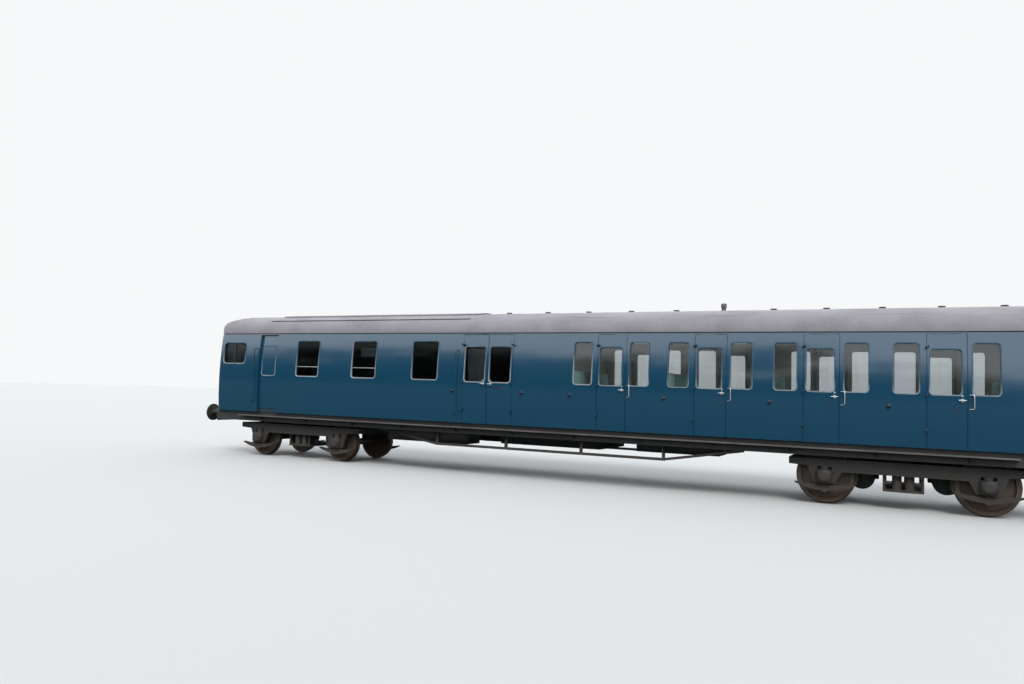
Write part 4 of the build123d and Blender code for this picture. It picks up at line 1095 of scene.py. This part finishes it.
def blowUp(piece, cap):
    # Shrinks a plain pad, remeshes it, inflates it and relaxes it inside its first box
    activate(piece)
    low, high = boxOf(piece)
    middle = (low + high) / 2
    size = high - low
    for vertex in piece.data.vertices:
        for axis in range(3):
            share = 1.0 - 2.0 * (pad["shrink"] + cap * pad["capShare"]) / size[axis]
            vertex.co[axis] = middle[axis] + (vertex.co[axis] - middle[axis]) * share
    remesh = piece.modifiers.new("remesh", "REMESH")
    remesh.mode = "VOXEL"
    remesh.voxel_size = pad["voxel"]
    bpy.ops.object.modifier_apply(modifier="remesh")
    inflate(piece, cap)
    relax = piece.modifiers.new("relax", "SMOOTH")
    relax.factor = pad["relaxShare"]
    relax.iterations = pad["relax"]
    bpy.ops.object.modifier_apply(modifier="relax")
    for vertex in piece.data.vertices:
        for axis in range(3):
            held = max(vertex.co[axis], low[axis] + pad["margin"])
            vertex.co[axis] = min(held, high[axis] - pad["margin"])
    bpy.ops.object.shade_smooth()


def shapeKey(piece):
    # Pads of one size and the same way round share one shape
    low, high = boxOf(piece)
    middle = (low + high) / 2
    mean = Vector((0.0, 0.0, 0.0))
    for vertex in piece.data.vertices:
        mean += vertex.co
    mean = mean / len(piece.data.vertices) - middle
    return tuple(round(value, 3) for value in (*(high - low), *mean))


def softSeats(node, cap):
    models = {}
    pads = splitLoose(node)
    for part in pads:
        key = shapeKey(part)
        corner = boxOf(part)[0]
        if key in models:
            mesh, firstCorner = models[key]
            part.data = mesh.copy()
            for vertex in part.data.vertices:
                vertex.co += corner - firstCorner
        else:
            blowUp(part, cap)
            models[key] = (part.data.copy(), corner)
    whole = joinPieces(pads, node + "_soft")
    whole.data.materials.clear()
    setFinish(whole, "seat_cloth")
    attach(whole, bodyOf[node])
    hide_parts(node)
    print(node, "softened:", len(models), "shapes,", len(pads), "pads,", len(whole.data.vertices), "points")


softSeats("seat_backs", pad["backCap"])
softSeats("seat_cushions", pad["cushionCap"])

# Window rims: a flat ring on the skin with a lip that turns in to the pane

rim = {
    "width": 0.017,
    "thickness": 0.006,
    "corner": 0.060,
    "cabCorner": 0.09,
    "lip": 0.024,
    "gap": 0.0003,
    "stand": 0.0004,
    "cuts": 7,
    "cornerSteps": 6,
    "near": 0.02,
    "facing": 0.9,
    "smooth": 35,
    "dullFrom": 1.5,  # along the coach
}
plate = {"halfWidth": 0.22, "foot": 2.149, "head": 2.909, "setBack": 0.066}
paneEnds = {"windscreens": -9.45, "cab": -8.25}  # where each kind of pane ends along the coach


def pickMiddle(ring, middle):
    # Selects only the face that fills the opening
    bpy.ops.mesh.select_mode(type="FACE")
    bpy.ops.mesh.select_all(action="DESELECT")
    bpy.ops.object.mode_set(mode="OBJECT")
    for face in ring.data.polygons:
        gap = math.hypot(face.center.x - middle[0], face.center.z - middle[2])
        face.select = gap < rim["near"] and abs(face.normal.y) > rim["facing"]
    bpy.ops.object.mode_set(mode="EDIT")


def faceOutward(ring, side):
    # Turns the flat ring's faces away from the coach
    bpy.ops.object.mode_set(mode="EDIT")
    bpy.ops.mesh.select_all(action="SELECT")
    bpy.ops.mesh.normals_make_consistent(inside=False)
    bpy.ops.object.mode_set(mode="OBJECT")
    if sum(side * face.normal.y * face.area for face in ring.data.polygons) < 0:
        bpy.ops.object.mode_set(mode="EDIT")
        bpy.ops.mesh.flip_normals()
        bpy.ops.object.mode_set(mode="OBJECT")


def windowRim(name, span, side, corner, setBack=0.0):
    x0, x1, z0, z1 = span
    middle = ((x0 + x1) / 2, 0.0, (z0 + z1) / 2)
    ring = uprightPlane(name, middle, x1 - x0 + 2 * rim["width"], z1 - z0 + 2 * rim["width"])
    bpy.ops.object.mode_set(mode="EDIT")
    bpy.ops.mesh.select_all(action="SELECT")
    bpy.ops.mesh.bevel(offset=corner + rim["width"], segments=rim["cornerSteps"], affect="VERTICES")
    bpy.ops.mesh.select_all(action="SELECT")
    bpy.ops.mesh.inset(thickness=rim["width"])
    pickMiddle(ring, middle)
    bpy.ops.mesh.extrude_region_move(TRANSFORM_OT_translate={"value": (0.0, rim["lip"], 0.0)})
    pickMiddle(ring, middle)
    bpy.ops.mesh.delete(type="FACE")
    cutLevels(z0, z1, rim["cuts"])
    bpy.ops.object.mode_set(mode="OBJECT")
    for vertex in ring.data.vertices:
        inward = vertex.co.y
        vertex.co.y = side * (sideY(vertex.co.z) + rim["stand"] - setBack - inward)
    faceOutward(ring, side)
    wall = ring.modifiers.new("wall", "SOLIDIFY")
    wall.thickness = rim["thickness"]
    wall.offset = 1.0
    bpy.ops.object.modifier_apply(modifier="wall")
    bpy.ops.object.shade_smooth_by_angle(angle=math.radians(rim["smooth"]))
    setFinish(ring, "dull_rims" if middle[0] > rim["dullFrom"] else "rim_metal")
    return ring


def gapRound(low, high):
    # A pane's span with the gap round it
    return low[0] - rim["gap"], high[0] + rim["gap"], low[2] - rim["gap"], high[2] + rim["gap"]


sideRims = []
panes = loosePanes("fixed_glass")
for number, (low, high) in enumerate(panes):
    if high[0] > paneEnds["windscreens"]:
        corner = rim["cabCorner"] if high[0] < paneEnds["cab"] else rim["corner"]
        sideRims.append(windowRim(f"rim{number}", gapRound(low, high), sideOf(low), corner))
rims = joinPieces(sideRims, "window_rims")
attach(rims, "carbody")
for node in sorted(n for n in nodes if "door_glass" in n):
    low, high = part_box(node)
    ring = windowRim(node.replace("glass", "rim"), gapRound(low, high), sideOf(low), rim["corner"])
    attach(ring, bodyOf[node])
for door in ("cab_door_left", "cab_door_right"):
    low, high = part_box(door)
    middleX = (low.x + high.x) / 2
    span = (middleX - plate["halfWidth"], middleX + plate["halfWidth"], plate["foot"], plate["head"])
    ring = windowRim(door + "_plate_rim", span, sideOf(low), rim["corner"], plate["setBack"])
    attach(ring, bodyOf[door])
print("window rims fitted")

# Upright bars that part the cab windows

curved = {"cuts": 8, "rounding": 0.003, "smooth": 35}
cabBar = {"half": 0.012, "depth": 0.020, "inset": -0.004}


def curvedBar(name, x, z0, z1, side, shape):
    # An upright bar bent to the body's side
    x0, x1 = x - shape["half"], x + shape["half"]
    bpy.ops.object.select_all(action="DESELECT")
    bpy.ops.mesh.primitive_cube_add(size=1.0, location=((x0 + x1) / 2, 0.0, (z0 + z1) / 2))
    bar = bpy.context.active_object
    bar.name = name
    bar.scale = (x1 - x0, shape["depth"], z1 - z0)
    bpy.ops.object.transform_apply(location=True, rotation=True, scale=True)
    bpy.ops.object.mode_set(mode="EDIT")
    cutLevels(z0, z1, curved["cuts"])
    bpy.ops.object.mode_set(mode="OBJECT")
    for vertex in bar.data.vertices:
        centre = sideY(vertex.co.z) - shape["inset"] - shape["depth"] / 2
        vertex.co.y = side * centre + vertex.co.y
    roundEdges(bar, curved["rounding"], curved["smooth"])
    setFinish(bar, "gutter_paint")
    return bar


cabBars = []
for number, (low, high) in enumerate(panes):
    if paneEnds["windscreens"] < high[0] < paneEnds["cab"]:
        middleX = (low[0] + high[0]) / 2
        cabBars.append(curvedBar(f"cabBar{number}", middleX, low[2], high[2], sideOf(low), cabBar))
cabBarsWhole = joinPieces(cabBars, "cab_window_bars")
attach(cabBarsWhole, "carbody")

# Stops behind the gaps at both edges of each swinging leaf, near black as painted shade of the gaps

seal = {"half": 0.030, "depth": 0.012, "inset": 0.0625, "closest": 0.04}
seals = []
for side, letter in ((-1, "left"), (1, "right")):
    edges = {}
    for door in leaves:
        if door.startswith(("passenger_door_" + letter, "van_door_" + letter)):
            low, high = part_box(door)
            for x in (low.x, high.x):
                if not any(abs(x - other) < seal["closest"] for other in edges):
                    edges[x] = (low.z, high.z)
    for x, (foot, head) in edges.items():
        seals.append(curvedBar(f"seal{len(seals)}", x, foot, head, side, seal))
sealsWhole = joinPieces(seals, "door_edge_stops")
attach(sealsWhole, "carbody")

# Raised edge of the lifting roof section over the engine room, dark grey as painted shade of the shadow
# line under its edge

roofEdge = {
    "start": -8.03,
    "end": -1.93,
    "angle": 23.55,  # degrees round the roof from its top, and so below
    "width": 0.7,
    "endAngle": 12.7,
    "height": 0.016,
    "bed": 0.004,
    "endWidth": 0.024,
    "sideSteps": 2,
    "endSteps": 10,
    "merge": 0.0001,
    "smooth": 30,
}


def roofStrip(name, x0, x1, fromAngle, toAngle, steps):
    # A flat profile spun about the centre of the roof's crown
    inner = roofLine["crownRadius"] - roofEdge["bed"]
    outer = roofLine["crownRadius"] + roofEdge["height"]
    strip = uprightPlane(name, ((x0 + x1) / 2, 0.0, crownZ + (inner + outer) / 2), x1 - x0, outer - inner)
    start = math.radians(fromAngle)
    for vertex in strip.data.vertices:
        reach = vertex.co.z - crownZ
        vertex.co.y = reach * math.sin(start)
        vertex.co.z = crownZ + reach * math.cos(start)
    bpy.ops.object.mode_set(mode="EDIT")
    bpy.ops.mesh.select_all(action="SELECT")
    turn = math.radians(toAngle - fromAngle)
    bpy.ops.mesh.spin(steps=steps, angle=turn, center=(0.0, 0.0, crownZ), axis=(-1.0, 0.0, 0.0))
    bpy.ops.mesh.select_all(action="SELECT")
    bpy.ops.mesh.remove_doubles(threshold=roofEdge["merge"])
    bpy.ops.mesh.normals_make_consistent(inside=False)
    bpy.ops.object.mode_set(mode="OBJECT")
    bpy.ops.object.shade_smooth_by_angle(angle=math.radians(roofEdge["smooth"]))
    # The strip's dark grey is painted shade of the shadow under the cover's edge
    setFinish(strip, "vent_metal")
    return strip


strips = []
for side in (-1, 1):
    first = side * roofEdge["angle"]
    last = side * (roofEdge["angle"] + roofEdge["width"])
    sideSpan = (roofEdge["start"], roofEdge["end"], first, last)
    strips.append(roofStrip(f"roofSide{side}", *sideSpan, roofEdge["sideSteps"]))
    for number, x in enumerate((roofEdge["start"], roofEdge["end"] - roofEdge["endWidth"])):
        endSpan = (x, x + roofEdge["endWidth"], side * roofEdge["endAngle"], first)
        strips.append(roofStrip(f"roofEnd{side}{number}", *endSpan, roofEdge["endSteps"]))
roofEdges = joinPieces(strips, "roof_section_edges")
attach(roofEdges, "carbody")

# Level bars across the first two engine room windows of each side

rodShape = {"sides": 12, "rounding": 0.3, "smooth": 40}
engineBar = {"share": 0.27, "radius": 0.008, "last": -3.8}


def rod(name, start, end, radius, finish):
    # A round rod from one point to another
    bpy.ops.object.select_all(action="DESELECT")
    way = Vector(end) - Vector(start)
    bpy.ops.mesh.primitive_cylinder_add(
        vertices=rodShape["sides"],
        radius=radius,
        depth=way.length,
        location=(Vector(start) + Vector(end)) / 2,
        rotation=way.to_track_quat("Z", "Y").to_euler(),
    )
    piece = bpy.context.active_object
    piece.name = name
    bpy.ops.object.transform_apply(location=True, rotation=True, scale=True)
    roundEdges(piece, radius * rodShape["rounding"], rodShape["smooth"])
    setFinish(piece, finish)
    return piece


engineBars = []
for number, (low, high) in enumerate(panes):
    if paneEnds["cab"] < high[0] < engineBar["last"]:
        deep = sideY(low[2]) - max(abs(low[1]), abs(high[1]))
        height = low[2] + engineBar["share"] * (high[2] - low[2])
        level = sideOf(low) * (sideY(height) - deep)
        start = (low[0], level, height)
        end = (high[0], level, height)
        engineBars.append(rod(f"engineBar{number}", start, end, engineBar["radius"], "bright_metal"))
engineBarsWhole = joinPieces(engineBars, "engine_window_bars")
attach(engineBarsWhole, "carbody")

# Wipers on the two windscreens

wiper = {
    "pivot": (0.70, 2.28),  # beside the centre line, and height
    "reach": 0.52,
    "lean": 32.0,
    "armRadius": 0.006,
    "proud": 0.022,
    "hubRadius": 0.018,
    "hubBack": 0.01,
    "hubFront": 0.034,
    "blade": 0.44,
    "bladeRadius": 0.0075,
    "bladeProud": 0.012,
    "bladeLean": 0.02,
}


def noseX(y):
    # Where the bowed front lies, at a distance from the middle
    return noseLine["end"] + y * y / (2 * noseLine["bowRadius"])


wiperParts = []
for side in (-1, 1):
    y0, z0 = side * wiper["pivot"][0], wiper["pivot"][1]
    y1 = y0 - side * wiper["reach"] * math.sin(math.radians(wiper["lean"]))
    z1 = z0 + wiper["reach"] * math.cos(math.radians(wiper["lean"]))
    foot = (noseX(y0) - wiper["proud"], y0, z0)
    head = (noseX(y1) - wiper["proud"], y1, z1)
    wiperParts.append(rod("wiperArm", foot, head, wiper["armRadius"], "black_rubber"))
    back = (noseX(y0) + wiper["hubBack"], y0, z0)
    front = (noseX(y0) - wiper["hubFront"], y0, z0)
    wiperParts.append(rod("wiperHub", back, front, wiper["hubRadius"], "black_rubber"))
    bladeX = noseX(y1) - wiper["bladeProud"]
    low = (bladeX, y1 + side * wiper["bladeLean"], z1 - wiper["blade"] / 2)
    high = (bladeX, y1 - side * wiper["bladeLean"], z1 + wiper["blade"] / 2)
    wiperParts.append(rod("wiperBlade", low, high, wiper["bladeRadius"], "black_rubber"))
wipers = joinPieces(wiperParts, "wipers")
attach(wipers, "carbody")
print("body trim fitted")
